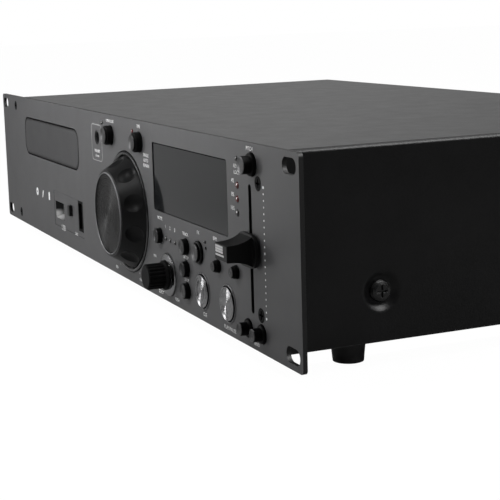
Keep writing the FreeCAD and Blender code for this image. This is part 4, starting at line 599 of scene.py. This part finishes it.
# the casing's edges carry a continuous light line: partly wear, partly a painted highlight along the bends
CASING = Finish("casing_black", (0.011, 0.011, 0.0114), 0.32, Pattern.POWDER, specular=0.18, grain=0.9 * MM,
                relief=0.05 * MM, variation=0.15, spread=0.05, wear=0.5, round=0.3 * MM, painted_highlight_share=0.6,
                wear_and_highlight_lift=0.12)
MATTE = Finish("matte_plastic", (0.01, 0.01, 0.0105), 0.5, grain=0.3 * MM, relief=0.01 * MM)
CONTROL = Finish("control_plastic", (0.004, 0.004, 0.0042), 0.42, specular=0.22, grain=0.25 * MM,
                 relief=0.004 * MM, wear=0.35)
KNOB = replace(CONTROL, name="knob_plastic", rough=0.55, specular=0.08, behind=SKIRT, split=-1.45 * MM)
JOG = Finish("jog_plastic", (0.004, 0.004, 0.0042), 0.4, specular=0.2, grain=0.4 * MM, relief=0.003 * MM,
             wear=0.15)
RING = Finish("ring_gloss", (0.005, 0.005, 0.0055), 0.16, specular=0.9, grain=1.0 * MM, relief=0.001 * MM,
              wear=0.2)
RUBBER = Finish("rubber", (0.016, 0.016, 0.017), 0.7, grain=0.4 * MM, relief=0.03 * MM, variation=0.25)
FIXING = Finish("black_fixing", (0.006, 0.006, 0.0063), 0.26, specular=0.45, grain=0.3 * MM,
                relief=0.006 * MM, wear=0.8)
SUNK = replace(FIXING, name="sunk_fixing", colour=(0.002, 0.002, 0.0021), rough=0.5, specular=0.05,
               wear=0.1)
STEEL = Finish("plated_steel", (0.5, 0.5, 0.51), 0.3, Pattern.BRUSHED, metal=1.0, grain=0.3 * MM,
               relief=0.004 * MM, wear=0.1)
BEZEL = Finish("bezel_metal", (0.2, 0.2, 0.205), 0.34, Pattern.BEZELS, metal=1.0, grain=0.2 * MM,
               relief=0.002 * MM, wear=0.1, second=(0.012, 0.012, 0.012))
BOARD = Finish("laminate", (0.02, 0.1, 0.045), 0.42, Pattern.BOARD, grain=1.2 * MM, relief=0.02 * MM)
NYLON = Finish("nylon", (0.6, 0.58, 0.53), 0.5, grain=0.5 * MM, relief=0.01 * MM, wear=0.0)
CASTING = Finish("casting", (0.3, 0.3, 0.31), 0.48, metal=1.0, grain=0.8 * MM, relief=0.03 * MM)
GLASS = Finish("smoked_window", (0.012, 0.013, 0.014), 0.07, Pattern.CLEAR, grain=3 * MM, relief=0.0005 * MM,
               variation=0.04, spread=0.02, wear=0.0, round=0.15 * MM)
SCREEN = Finish("screen_grey", (0.05, 0.052, 0.055), 0.3, grain=0.4 * MM, relief=0.001 * MM, variation=0.05)
LENS = Finish("lamp_lens", (0.012, 0.011, 0.011), 0.2, Pattern.LAMPS, second=(0.075, 0.008, 0.008), coat=0.4,
              grain=0.3 * MM, relief=0.002 * MM, wear=0.0, round=0.1 * MM)
PRINT = Finish("white_print", (0.8, 0.8, 0.8), 0.6, grain=0.15 * MM, relief=0.004 * MM, wear=0.0,
               round=0.02 * MM)
CAP_PRINT = replace(PRINT, name="cap_print", colour=(0.52, 0.52, 0.52))
FAINT = replace(PRINT, name="grey_print", colour=(0.36, 0.36, 0.36))
RIM = Finish("pale_rim", (0.16, 0.16, 0.165), 0.35, grain=0.2 * MM, relief=0.001 * MM, wear=0.0,
             round=0.05 * MM)
SEGMENT = replace(RIM, name="unlit_segment", colour=(0.04, 0.042, 0.044), round=0.02 * MM)


def spun(name: str, tone: float, box: tuple[Vector, Vector], rough: float, face: float = 0.0) -> Finish:
    """Return a spun metal finish centred on a round piece.

    Args:
        name: the piece.
        tone: how light the metal is.
        box: the piece's corners.
        rough: the roughness.
        face: how far the metal face reaches behind the front; 0 for the whole piece.

    Returns:
        The finish.
    """
    low, high = box
    middle = (low + high) / 2
    return Finish(f"spun_{name}", (tone, tone, tone * 1.02), rough, Pattern.SPUN, metal=1.0, specular=0.08,
                  grain=0.3 * MM, relief=0.0005 * MM, variation=0.05, spread=0.03, wear=0.3, round=0.15 * MM,
                  centre=(round(middle.x, 5), 0.0, round(middle.z, 5)),
                  behind=DARK if face else None, split=round(low.y + face, 5))


# ---------------------------------------------------------------- mesh making
class Mesh:
    """A bmesh under construction that becomes one piece."""

    def __init__(self, name: str) -> None:
        """Start an empty mesh.

        Args:
            name: the piece's name.
        """
        self.name = name
        self.bm = bmesh.new()

    def lathe(self, profile: Sequence[Pair], centre: Vector, steps: int) -> None:
        """Turn a closed (radius, y) profile about an axis along Y.

        Args:
            profile: the section's corners, in metres.
            centre: a point on the axis.
            steps: how many segments go round.
        """
        section = [self.bm.verts.new(centre + Vector((radius, y, 0))) for radius, y in profile]
        outline = [self.bm.edges.new((section[spot - 1], section[spot])) for spot in range(len(section))]
        bmesh.ops.spin(self.bm, geom=section + outline, cent=centre, axis=(0, 1, 0), angle=2 * math.pi,
                       steps=steps, use_merge=True)

    def plate(self, outline: Sequence[Pair], y: float, thick: float) -> None:
        """Add a flat plate facing the front from an outline in x and z.

        Args:
            outline: the corners, anticlockwise seen from the front.
            y: the front face's place.
            thick: how far it reaches to the rear.
        """
        self.thicken(self.bm.faces.new([self.bm.verts.new((x, y, z)) for x, z in outline]), thick)

    def card(self, centre: Pair, size: Pair, radius: float, y: float, thick: float,
             border: float = 0.0, steps: int = 6) -> None:
        """Add a rectangular plate with round corners, facing the front.

        Args:
            centre: its middle in x and z.
            size: its width and height.
            radius: the corners' radius.
            y: the front face's place.
            thick: how far it reaches to the rear.
            border: the width of the frame that stays when the middle is cut out; 0 for a whole plate.
            steps: how many segments round a corner.
        """
        place = (Matrix.Translation((centre[0], y, centre[1])) @ Matrix.Rotation(math.pi / 2, 4, "X")
                 @ Matrix.Diagonal((*size, 1.0, 1.0)))
        corners = bmesh.ops.create_grid(self.bm, x_segments=1, y_segments=1, size=0.5, matrix=place)["verts"]
        rounded = bmesh.ops.bevel(self.bm, geom=corners, offset=radius, segments=steps, profile=0.5,
                                  affect="VERTICES", material=-1)["verts"]
        self.thicken(rounded[0].link_faces[0], thick, border)

    def thicken(self, face: bmesh.types.BMFace, thick: float, border: float = 0.0) -> None:
        """Give a flat face its depth.

        Args:
            face: the front face.
            thick: how far it reaches to the rear.
            border: the width of the frame that stays when the middle is cut out; 0 for a whole plate.
        """
        faces = [face]
        if border:
            face.normal_update()
            faces = bmesh.ops.inset_region(self.bm, faces=faces, thickness=border, use_boundary=True,
                                           use_even_offset=True)["faces"]
            bmesh.ops.delete(self.bm, geom=[face], context="FACES_ONLY")
        grown = bmesh.ops.extrude_face_region(self.bm, geom=faces)["geom"]
        moved = [item for item in grown if isinstance(item, bmesh.types.BMVert)]
        bmesh.ops.translate(self.bm, vec=(0, thick, 0), verts=moved)

    def absorb(self, mesh: bpy.types.Mesh, place: Matrix) -> None:
        """Add another mesh's faces and remove that mesh.

        Args:
            mesh: what to add.
            place: the matrix that moves it.
        """
        mesh.transform(place)
        self.bm.from_mesh(mesh)
        bpy.data.meshes.remove(mesh)

    def finish(self, finish: Finish, body: str, slot: str) -> None:
        """Close the seams, turn the faces outwards, list them in order and hand the piece to its body.

        Args:
            finish: the surface.
            body: the body that it rides on.
            slot: the record's material slot; not used.
        """
        bmesh.ops.remove_doubles(self.bm, verts=self.bm.verts, dist=SEAM)
        bmesh.ops.recalc_face_normals(self.bm, faces=self.bm.faces)
        self.bm.verts.sort(key=lambda corner: corner.co.dot(LISTING))
        self.bm.faces.sort(key=lambda face: face.calc_center_median().dot(LISTING))
        data = bpy.data.meshes.new(self.name)
        self.bm.to_mesh(data)
        self.bm.free()
        for face in data.polygons:
            face.use_smooth = False
        data.materials.append(finish.material())
        piece = bpy.data.objects.new(self.name, data)
        bpy.context.scene.collection.objects.link(piece)
        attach(piece, body)
        LOG.info("%s: %d faces on %s", self.name, len(data.polygons), body)


# ---------------------------------------------------------------- print on the panel
@dataclass(frozen=True)
class Word:
    """A printed word: its middle and capital height, in millimetres."""

    text: str
    x: float
    z: float
    tall: float


WORDS = (
    Word("OPEN/CLOSE", 7.8, 40.6, 1.5), Word("TIME", 55.3, 41.0, 1.6), Word("PHONES", -17.4, 21.9, 1.6),
    Word("6.3 mm", -17.4, 19.3, 1.4), Word("SINGLE", 65.4, 27.0, 1.6), Word("AUTO", 65.0, 24.3, 1.6),
    Word("REMAIN", 65.4, 21.6, 1.6), Word("CARD", -67.9, -33.4, 1.6), Word("USB", -96.4, -33.8, 3.2),
    Word("REV", 10.2, -40.4, 1.5), Word("-", 16.8, -37.3, 1.6), Word("+", 48.3, -37.3, 1.6),
    Word("FWD", 50.4, -40.6, 1.5), Word("MODE", 82.8, -2.9, 1.6), Word("1", 90.4, -6.2, 1.6),
    Word("2", 96.7, -6.2, 1.6), Word("3", 103.2, -6.2, 1.6), Word("TRACK", 117.4, -6.0, 1.5),
    Word("LOOP", 117.4, -17.3, 1.5), Word("STOP", 117.4, -28.3, 1.5), Word("FX", 134.0, -2.8, 1.6),
    Word("BPM", 154.4, -2.6, 1.6), Word("MIN", 73.4, -23.6, 1.4), Word("SELECT", 80.8, -40.9, 1.5),
    Word("PUSH", 103.4, -40.7, 1.5), Word("CUE", 139.5, -40.6, 1.6), Word("PLAY/PAUSE", 168.8, -41.0, 1.6),
    Word("BEND", 197.4, -41.4, 1.4), Word("-", 182.2, -38.4, 1.6), Word("PITCH", 195.2, 41.6, 1.6),
    Word("KEY", 179.9, 32.9, 1.5), Word("LOCK", 181.2, 30.2, 1.5), Word("4%", 176.6, 26.3, 1.7),
    Word("8%", 176.4, 20.3, 1.7), Word("16%", 175.8, 14.3, 1.7),
)
REAR_WORDS = (
    Word("LINE OUT", -127.0, 21.0, 3.0), Word("L", -111.0, 9.0, 3.0), Word("R", -111.0, -9.0, 3.0),
    Word("REMOTE", -174.0, 9.0, 2.6), Word("1", -165.0, -9.0, 2.6), Word("2", -183.0, -9.0, 2.6),
    Word("POWER", 112.0, 16.0, 2.8), Word("ON", 122.4, 7.0, 2.2), Word("OFF", 122.4, -8.5, 2.2),
    Word("MAINS", 165.0, -18.0, 2.6),
)


@dataclass
class Print:
    """White ink on the front and rear panels.

    Attributes:
        thick: how thick the ink is.
        rear: the y of the rear panel's face.
        scale_x: the fader scale's place across.
        scale_top: its uppermost dot, in millimetres.
        scale_pitch: the distance between its dots, in millimetres.
        scale_dots: how many dots it has.
        dot: the size of a dot.
        large_dot: the size of every tenth dot.
        first_dot: the width of the uppermost dot.
        disc: the middle of the disc mark, in x and z.
        disc_radii: its inner and outer radius.
        stick: the stick mark's corners, in millimetres.
        card: the card mark's corners, in millimetres.
        jack: the middle of the jack's frame.
        jack_size: the frame's width and height.
        jack_corner: the radius of its corners.
        jack_line: how wide its line is.
    """

    thick: float = INK
    rear: float = 249.0 * MM
    scale_x: float = 208.0 * MM
    scale_top: float = 26.8
    scale_pitch: float = 2.75
    scale_dots: int = 21
    dot: float = 0.8 * MM
    large_dot: float = 1.1 * MM
    first_dot: float = 1.6 * MM
    disc: Pair = (-156.8 * MM, -17.5 * MM)
    disc_radii: Pair = (0.8 * MM, 2.7 * MM)
    stick: tuple[Pair, ...] = ((-144.6, -19.9), (-143.0, -19.9), (-140.6, -15.2), (-142.2, -15.2))
    card: tuple[Pair, ...] = ((-128.8, -19.7), (-125.6, -19.7), (-125.6, -14.5), (-127.8, -14.5),
                              (-128.8, -15.6))
    jack: Pair = (-17.5 * MM, 26.8 * MM)
    jack_size: Pair = (19.1 * MM, 20.8 * MM)
    jack_corner: float = 3.0 * MM
    jack_line: float = 0.35 * MM

    def words(self, name: str, words: Sequence[Word], place: Matrix, finish: Finish) -> None:
        """Set words in one mesh.

        Args:
            name: the piece's name.
            words: what to print.
            place: turns the flat text to its panel.
            finish: the ink.
        """
        mesh = Mesh(name)
        for word in words:
            curve = bpy.data.curves.new("word", "FONT")
            curve.body = word.text
            curve.size = word.tall * MM * FONT_SIZE
            curve.align_x = "CENTER"
            curve.align_y = "CENTER"
            curve.extrude = self.thick / 2
            curve.resolution_u = 3
            holder = bpy.data.objects.new("word", curve)
            flat = bpy.data.meshes.new_from_object(holder)
            mesh.absorb(flat, place @ Matrix.Translation((word.x * MM, word.z * MM, 0)))
            bpy.data.objects.remove(holder)
            bpy.data.curves.remove(curve)
        mesh.finish(finish, "chassis", "panel")

    def scale(self, mesh: Mesh) -> None:
        """Print the fader scale, with larger dots at its ends and middle.

        Args:
            mesh: where the dots go.
        """
        for step in range(self.scale_dots):
            z = (self.scale_top - self.scale_pitch * step) * MM
            size = self.dot if step % 10 else self.large_dot
            wide = size if step else self.first_dot
            mesh.card((self.scale_x, z), (wide, size), size * 0.45, -self.thick, self.thick)

    def marks(self) -> None:
        """Print the fader scale, the disc, stick and card marks and the jack's frame."""
        mesh = Mesh("printed_marks")
        front, thick = -self.thick, self.thick
        self.scale(mesh)
        inner, outer = self.disc_radii
        mesh.lathe(((inner, front), (outer, front), (outer, 0), (inner, 0)),
                   Vector((self.disc[0], 0, self.disc[1])), 24)
        for outline in (self.stick, self.card):
            mesh.plate([(x * MM, z * MM) for x, z in outline], front, thick)
        mesh.finish(PRINT, "chassis", "panel")
        frame = Mesh("jack_outline")
        frame.card(self.jack, self.jack_size, self.jack_corner, front, thick, border=self.jack_line)
        frame.finish(FAINT, "chassis", "panel")

    def build(self) -> None:
        """Print both panels."""
        upright = Matrix.Translation((0, -self.thick / 2, 0)) @ Matrix.Rotation(math.pi / 2, 4, "X")
        self.words("front_words", WORDS, upright, PRINT)
        rear = Matrix.Translation((0, self.rear + self.thick / 2, 0))
        turned = rear @ Matrix.Rotation(math.pi, 4, "Z") @ Matrix.Rotation(math.pi / 2, 4, "X")
        self.words("rear_words", REAR_WORDS, turned, PRINT)
        self.marks()


@dataclass
class CapMark:
    """The block of squares and the line on the fader cap's face.

    Attributes:
        thick: how thick the ink is.
        first: the first square's middle in x and z, in millimetres.
        pitch: the squares' pitch each way, in millimetres.
        rows: how many rows of squares there are.
        spots: how many squares are in a row.
        square: a square's width and height.
        line: the middle of the line.
        line_size: its width and height.
    """

    thick: float = INK
    first: Pair = (189.2, -0.7)
    pitch: Pair = (0.88, 1.1)
    rows: int = 3
    spots: int = 9
    square: Pair = (0.8 * MM, 0.98 * MM)
    line: Pair = (193.2 * MM, -2.2 * MM)
    line_size: Pair = (8.8 * MM, 0.8 * MM)

    def build(self) -> None:
        """Print the squares and the line on the cap."""
        mesh = Mesh("cap_mark")
        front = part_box("fader_cap")[0].y - self.thick
        for row in range(self.rows):
            z = (self.first[1] + self.pitch[1] * row) * MM
            for spot in range(self.spots):
                x = (self.first[0] + self.pitch[0] * spot) * MM
                mesh.card((x, z), self.square, 0.1 * MM, front, self.thick, steps=1)
        mesh.card(self.line, self.line_size, 0.2 * MM, front, self.thick)
        mesh.finish(CAP_PRINT, "fader", "panel")


# ---------------------------------------------------------------- small details
@dataclass(frozen=True)
class Figures:
    """A row of figures: how many, their left foot, height and pitch, and the gap after a pair, in mm."""

    count: int
    x: float
    z: float
    tall: float
    pitch: float
    pair_gap: float = 0.0


ROWS = (Figures(6, 104.0, 15.0, 12.0, 9.6, 3.4), Figures(2, 80.5, 15.0, 12.0, 9.4),
        Figures(4, 140.0, 4.4, 7.0, 6.4))


@dataclass
class DisplayFace:
    """Unlit figures on the screen behind the window.

    Attributes:
        depth: the screen's y.
        thick: how thick the figures are.
        blocks: how many blocks the level bar has.
        first_block: the first block's middle in x and z, in millimetres.
        block_pitch: the distance between the blocks, in millimetres.
        block: a block's width and height.
    """

    depth: float = 5.57 * MM
    thick: float = 0.02 * MM
    blocks: int = 24
    first_block: Pair = (80.8, 7.2)
    block_pitch: float = 2.2
    block: Pair = (1.6 * MM, 4.4 * MM)

    def digit(self, mesh: Mesh, x: float, z: float, tall: float) -> None:
        """Draw a seven-bar figure.

        Args:
            mesh: where the bars go.
            x: left edge in millimetres.
            z: foot in millimetres.
            tall: height in millimetres.
        """
        wide, half, bar, gap = tall * 0.52, tall / 2, tall * 0.11, tall * 0.03
        flat = ((0, tall - bar), (0, half - bar / 2), (0, 0))
        spots = [(x + left + bar / 2 + gap, z + low, wide - bar - gap * 2, bar) for left, low in flat]
        for left in (0, wide - bar):
            for low in (half, 0):
                spots.append((x + left, z + low + bar / 2 + gap, bar, half - bar - gap * 2))
        for spot in spots:
            left, low, across, high = (size * MM for size in spot)
            mesh.card((left + across / 2, low + high / 2), (across, high), min(across, high) * 0.4,
                      self.depth, self.thick, steps=2)

    def build(self) -> None:
        """Draw the time, track and pitch figures and a bar of level blocks."""
        mesh = Mesh("screen_figures")
        for row in ROWS:
            for number in range(row.count):
                x = row.x + number * row.pitch + (number // 2) * row.pair_gap
                self.digit(mesh, x, row.z, row.tall)
        for number in range(self.blocks):
            x = (self.first_block[0] + number * self.block_pitch) * MM
            mesh.card((x, self.first_block[1] * MM), self.block, 0.2 * MM, self.depth, self.thick, steps=1)
        mesh.finish(SEGMENT, "chassis", "display")


@dataclass
class WindowPane:
    """The window's raised face, which fills its opening nearly flush with the panel.

    Attributes:
        centre: its middle in x and z.
        size: its width and height.
        corner: the radius of its corners.
        front: its face's y.
    """

    centre: Pair = (122.6 * MM, 17.4 * MM)
    size: Pair = (94.9 * MM, 33.5 * MM)
    corner: float = 1.35 * MM
    front: float = 0.45 * MM

    def build(self) -> None:
        """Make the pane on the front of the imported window."""
        mesh = Mesh("window_pane")
        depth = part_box("display_window")[0].y - self.front
        mesh.card(self.centre, self.size, self.corner, self.front, depth)
        mesh.finish(GLASS, "chassis", "window")


@dataclass
class CapRim:
    """The thin pale edge round the jog wheel's cap.

    Attributes:
        wide: how far it reaches inwards.
        proud: how far it stands out.
    """

    wide: float = 0.5 * MM
    proud: float = 0.25 * MM

    def build(self) -> None:
        """Turn the rim on the cap's outer edge."""
        low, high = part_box("jog_cap")
        edge = (high.x - low.x) / 2
        mesh = Mesh("cap_rim")
        profile = ((edge - self.wide, 0.3 * MM), (edge - self.wide, -0.1 * MM),
                   (edge - 0.15 * MM, -self.proud), (edge + 0.1 * MM, 0.3 * MM))
        mesh.lathe(profile, Vector(((low.x + high.x) / 2, low.y, (low.z + high.z) / 2)), 96)
        mesh.finish(RIM, "jog", "gloss_black")


@dataclass
class SocketRings:
    """Coloured insulators inside the phono sockets' shells.

    Attributes:
        y: the sockets' rear face.
        x: the two columns' places, in millimetres.
        level: the two rows' distance from the middle, in millimetres.
        inner: the rings' inner radius.
        outer: the rings' outer radius.
    """

    y: float = 257.6 * MM
    x: Pair = (118.0, 136.0)
    level: float = 9.0
    inner: float = 1.9 * MM
    outer: float = 3.3 * MM

    def build(self) -> None:
        """Make one ring on each socket."""
        profile = ((self.inner, -0.3 * MM), (self.outer, -0.3 * MM), (self.outer, 0.15 * MM),
                   (self.inner, 0.15 * MM))
        for side, name, colour in ((1, "white", (0.6, 0.6, 0.58)), (-1, "red", (0.3, 0.02, 0.02))):
            finish = Finish(f"socket_{name}", colour, 0.4, grain=0.3 * MM, relief=0.003 * MM, wear=0.0)
            mesh = Mesh(f"socket_rings_{name}")
            for x in self.x:
                mesh.lathe(profile, Vector((x * MM, self.y, side * self.level * MM)), 32)
            mesh.finish(finish, "chassis", "gloss_black")


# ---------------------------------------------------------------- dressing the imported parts
FINISHES = {
    PANEL: "front_panel", DOOR: "tray_door", INSERT: "media_insert", KNOB: "encoder_knob",
    CASING: "top_cover chassis_base rear_panel", DARK: "card_slot",
    MATTE: "headphone_jack tact_switches disc_tray loader_frame mains_inlet power_switch power_rocker "
           "jog_bearing",
    CONTROL: "fader_cap media_button", JOG: "jog_wheel", RING: "jog_ring",
    RUBBER: "rubber_feet drive_belt", FIXING: "foot_screws cover_screws line_sockets",
    SUNK: "panel_screws",
    STEEL: "usb_port jog_spindle encoder_body fader_body fader_stem loader_motor spindle_motor "
           "guide_rods",
    BEZEL: "button_bezels", BOARD: "control_boards main_board power_supply",
    NYLON: "tray_gear motor_pulley spindle_hub", CASTING: "optical_pickup",
    GLASS: "display_window", SCREEN: "lcd_module", LENS: "lamps",
}
BRIGHT_BUTTONS = ("cue_button", "play_button")
LARGER_BUTTONS = ("open_close_button", "time_button", "upper_button", "ring_button")
# how far behind its front a button's metal face reaches
BUTTON_FACE = 0.25 * MM


@dataclass
class Dressing:
    """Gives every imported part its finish.

    Attributes:
        nodes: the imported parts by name.
        table: the finish of each.
    """

    nodes: dict[str, bpy.types.Object]
    table: dict[str, Finish] = field(init=False, default_factory=dict)

    def __post_init__(self) -> None:
        """Fill the table of finishes; a part that no finish names is a button."""
        for finish, names in FINISHES.items():
            for name in names.split():
                self.table[name] = finish
        cap = spun("jog_cap", 0.008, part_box("jog_cap"), 0.25)
        self.table["jog_cap"] = replace(cap, metal=0.0, specular=0.08, swing=0.9, dome=3.0)
        for name in self.nodes:
            if name not in self.table:
                self.table[name] = self.button(name)

    @staticmethod
    def button(name: str) -> Finish:
        """Choose a button's spun face: bright and flat, or darker and domed.

        Args:
            name: the button.

        Returns:
            Its finish.
        """
        if name in BRIGHT_BUTTONS:
            return replace(spun(name, 0.34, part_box(name), 0.15, BUTTON_FACE), swing=1.1, dome=0.0)
        tone = 0.1 if name in LARGER_BUTTONS else 0.055
        return replace(spun(name, tone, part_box(name), 0.34, BUTTON_FACE), swing=0.5, dome=-55.0)

    def build(self) -> None:
        """Put each finish on its part's own material slots."""
        for name, part in self.nodes.items():
            for holder in part.material_slots:
                holder.link = "OBJECT"
                holder.material = self.table[name].material()
            LOG.info("%s: %s", name, self.table[name].name)


# ---------------------------------------------------------------- stage, light and camera
@dataclass(frozen=True)
class Lamp:
    """A soft rectangular lamp.

    Attributes:
        name: the lamp's name.
        place: where it hangs.
        target: what it points at.
        size: its width and height.
        power: watts.
        glossy: whether shiny surfaces mirror it.
        diffuse: whether it lights dull surfaces.
    """

    name: str
    place: Point
    target: Point
    size: Pair
    power: float
    glossy: bool = True
    diffuse: bool = True

    def hang(self) -> None:
        """Put the lamp in the scene, unseen by the camera."""
        data = bpy.data.lights.new(self.name, "AREA")
        data.shape = "RECTANGLE"
        data.size, data.size_y = self.size
        data.energy = self.power
        lamp = bpy.data.objects.new(self.name, data)
        place = Vector(self.place)
        lamp.location = place
        lamp.rotation_euler = (Vector(self.target) - place).to_track_quat("-Z", "Y").to_euler()
        lamp.visible_camera = False
        lamp.visible_glossy = self.glossy
        lamp.visible_diffuse = self.diffuse
        bpy.context.scene.collection.objects.link(lamp)


LAMPS = (
    Lamp("key_softbox", (-0.75, -0.77, 0.16), (0.0, 0.0, 0.0), (0.35, 0.45), 3.4),
    Lamp("top_softbox", (0.1, 0.45, 1.2), (0.0, 0.1, 0.0), (1.4, 1.0), 9.0),
    Lamp("near_strip", (-0.02, -0.09, 0.095), (-0.02, 0.0, 0.045), (0.4, 0.03), 0.35, glossy=False),
    Lamp("side_softbox", (0.8, 0.6, 0.85), (0.2, 0.05, 0.0), (0.7, 0.6), 16.0, diffuse=False),
    Lamp("rear_softbox", (0.2, 1.3, 0.7), (0.0, 0.25, 0.0), (1.2, 0.6), 9.0),
    Lamp("front_softbox", (0.15, -0.6, 0.8), (0.0, 0.0, 0.0), (0.2, 0.15), 1.6),
)


@dataclass
class Stage:
    """Pale floor, pale surroundings, lamps and camera.

    Attributes:
        floor_z: the floor's height, under the feet.
        reach: how far the floor goes each way.
        opening: how far the floor is pulled in round the case, across and along.
        opening_y: the middle of that opening.
        paper: the floor's grey, and how brightly it glows to the camera.
        glow: the share of that glow in what the camera sees.
        sweep: the pale sweep's strength in reflections.
        above: the ceiling's strength.
        below: the ground's strength.
        room: what the rest of the room gives.
        sensor: the camera's sensor width in millimetres.
        lens: its focal length in millimetres.
        shift: its shift across and up, in sensor widths.
        eye: where it stands.
        turn: how it is turned, in degrees.
    """

    floor_z: float = -52.5 * MM
    reach: float = 6.0
    opening: Pair = (0.1, 0.055)
    opening_y: float = 0.125
    paper: Pair = (0.38, 1.06)
    glow: float = 0.93
    sweep: float = 0.54
    above: float = 0.2
    below: float = 0.6
    room: float = 0.02
    sensor: float = 36.0
    lens: float = 93.016
    shift: Pair = (0.0760, -0.0820)
    eye: Point = (0.68278, -0.21621, 0.09921)
    turn: Point = (81.21413, 1.89363, 67.53864)

    def floor(self) -> None:
        """Lay a plain floor that shows white to the camera and keeps the shadow.

        It is open under the case and from below, so that the underside can be seen.
        """
        shape = bmesh.new()
        bmesh.ops.create_grid(shape, x_segments=3, y_segments=3, size=self.reach,
                              matrix=Matrix.Translation((0, 0, self.floor_z)))
        half = self.reach / 2
        inner = [corner for corner in shape.verts if abs(corner.co.x) < half and abs(corner.co.y) < half]
        under = [face for face in shape.faces if all(corner in inner for corner in face.verts)]
        bmesh.ops.scale(shape, vec=(*self.opening, 1.0), verts=inner)
        bmesh.ops.translate(shape, vec=(0.0, self.opening_y, 0.0), verts=inner)
        bmesh.ops.delete(shape, geom=under, context="FACES_ONLY")
        mesh = bpy.data.meshes.new("floor")
        shape.to_mesh(mesh)
        shape.free()
        mesh.materials.append(self.floor_paper())
        floor = bpy.data.objects.new("floor", mesh)
        bpy.context.scene.collection.objects.link(floor)

    def floor_paper(self) -> bpy.types.Material:
        """Make the floor's material, clear from below.

        Returns:
            The material.
        """
        material = bpy.data.materials.new("floor_paper")
        material.use_nodes = True
        graph = Graph(material.node_tree)
        grey, bright = self.paper
        paper = graph.node("ShaderNodeBsdfDiffuse", {"Color": (grey, grey, grey, 1.0)})
        glow = graph.node("ShaderNodeEmission", {"Color": (1.0, 1.0, 1.0, 1.0), "Strength": bright})
        rays = graph.node("ShaderNodeLightPath")
        seen = Wire(graph, rays.outputs["Is Camera Ray"]) * self.glow
        mixed = graph.node("ShaderNodeMixShader", {0: seen, 1: paper.outputs[0], 2: glow.outputs[0]})
        back = graph.node("ShaderNodeNewGeometry").outputs["Backfacing"]
        clear = graph.node("ShaderNodeBsdfTransparent")
        open_below = graph.node("ShaderNodeMixShader", {0: back, 1: mixed.outputs[0], 2: clear.outputs[0]})
        graph.node("ShaderNodeOutputMaterial", {"Surface": open_below.outputs[0]})
        return material

    def world(self) -> None:
        """White to the camera; a pale sweep behind and a dimmer room elsewhere for reflections."""
        world = bpy.data.worlds.new("studio")
        bpy.context.scene.world = world
        world.use_nodes = True
        graph = Graph(world.node_tree)
        way = Wire(graph, graph.node("ShaderNodeTexCoord").outputs["Generated"])
        x, y, z = graph.parts(way)
        behind = (y * 0.8 - x * 0.6).ramp(0.25, 0.95) * (x.ramp(-0.6, -0.9) * 0.95 + 0.05)
        level = behind * self.sweep + z.ramp(-0.1, 0.9) * self.above + z.ramp(-0.3, -0.9) * self.below
        level = level + self.room
        rays = graph.node("ShaderNodeLightPath")
        camera = Wire(graph, rays.outputs["Is Camera Ray"])
        strength = camera + (1.0 - camera) * level
        sky = graph.node("ShaderNodeBackground", {"Color": (1.0, 1.0, 1.0, 1.0), "Strength": strength})
        graph.node("ShaderNodeOutputWorld", {"Surface": sky.outputs[0]})

    def camera(self) -> None:
        """Place the camera to the right of the panel and a little above it."""
        data = bpy.data.cameras.new("camera")
        data.sensor_width = self.sensor
        data.lens = self.lens
        data.shift_x, data.shift_y = self.shift
        data.clip_start = 0.01
        camera = bpy.data.objects.new("camera", data)
        camera.location = self.eye
        camera.rotation_euler = Euler([math.radians(turn) for turn in self.turn])
        bpy.context.scene.collection.objects.link(camera)
        bpy.context.scene.camera = camera

    def build(self) -> None:
        """Set up everything round the object."""
        self.floor()
        self.world()
        for lamp in LAMPS:
            lamp.hang()
        self.camera()
        bpy.context.scene.view_settings.view_transform = "Standard"


def corners(box: tuple[Vector, Vector]) -> list[list[float]]:
    """Return a box's corners as plain lists."""
    return [list(corner) for corner in box]


def main() -> None:
    """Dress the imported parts, add the details and set the stage."""
    logging.basicConfig(level=logging.INFO, format="%(message)s")
    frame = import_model()
    builders: list[tuple[str, Callable[[], None]]] = [
        ("finishes", Dressing(frame["nodes"]).build), ("print", Print().build),
        ("fader mark", CapMark().build), ("display", DisplayFace().build), ("window", WindowPane().build),
        ("jog rim", CapRim().build), ("socket rings", SocketRings().build), ("stage", Stage().build)]
    for name, build in builders:
        LOG.info("building %s", name)
        build()


if __name__ == "__main__":
    main()
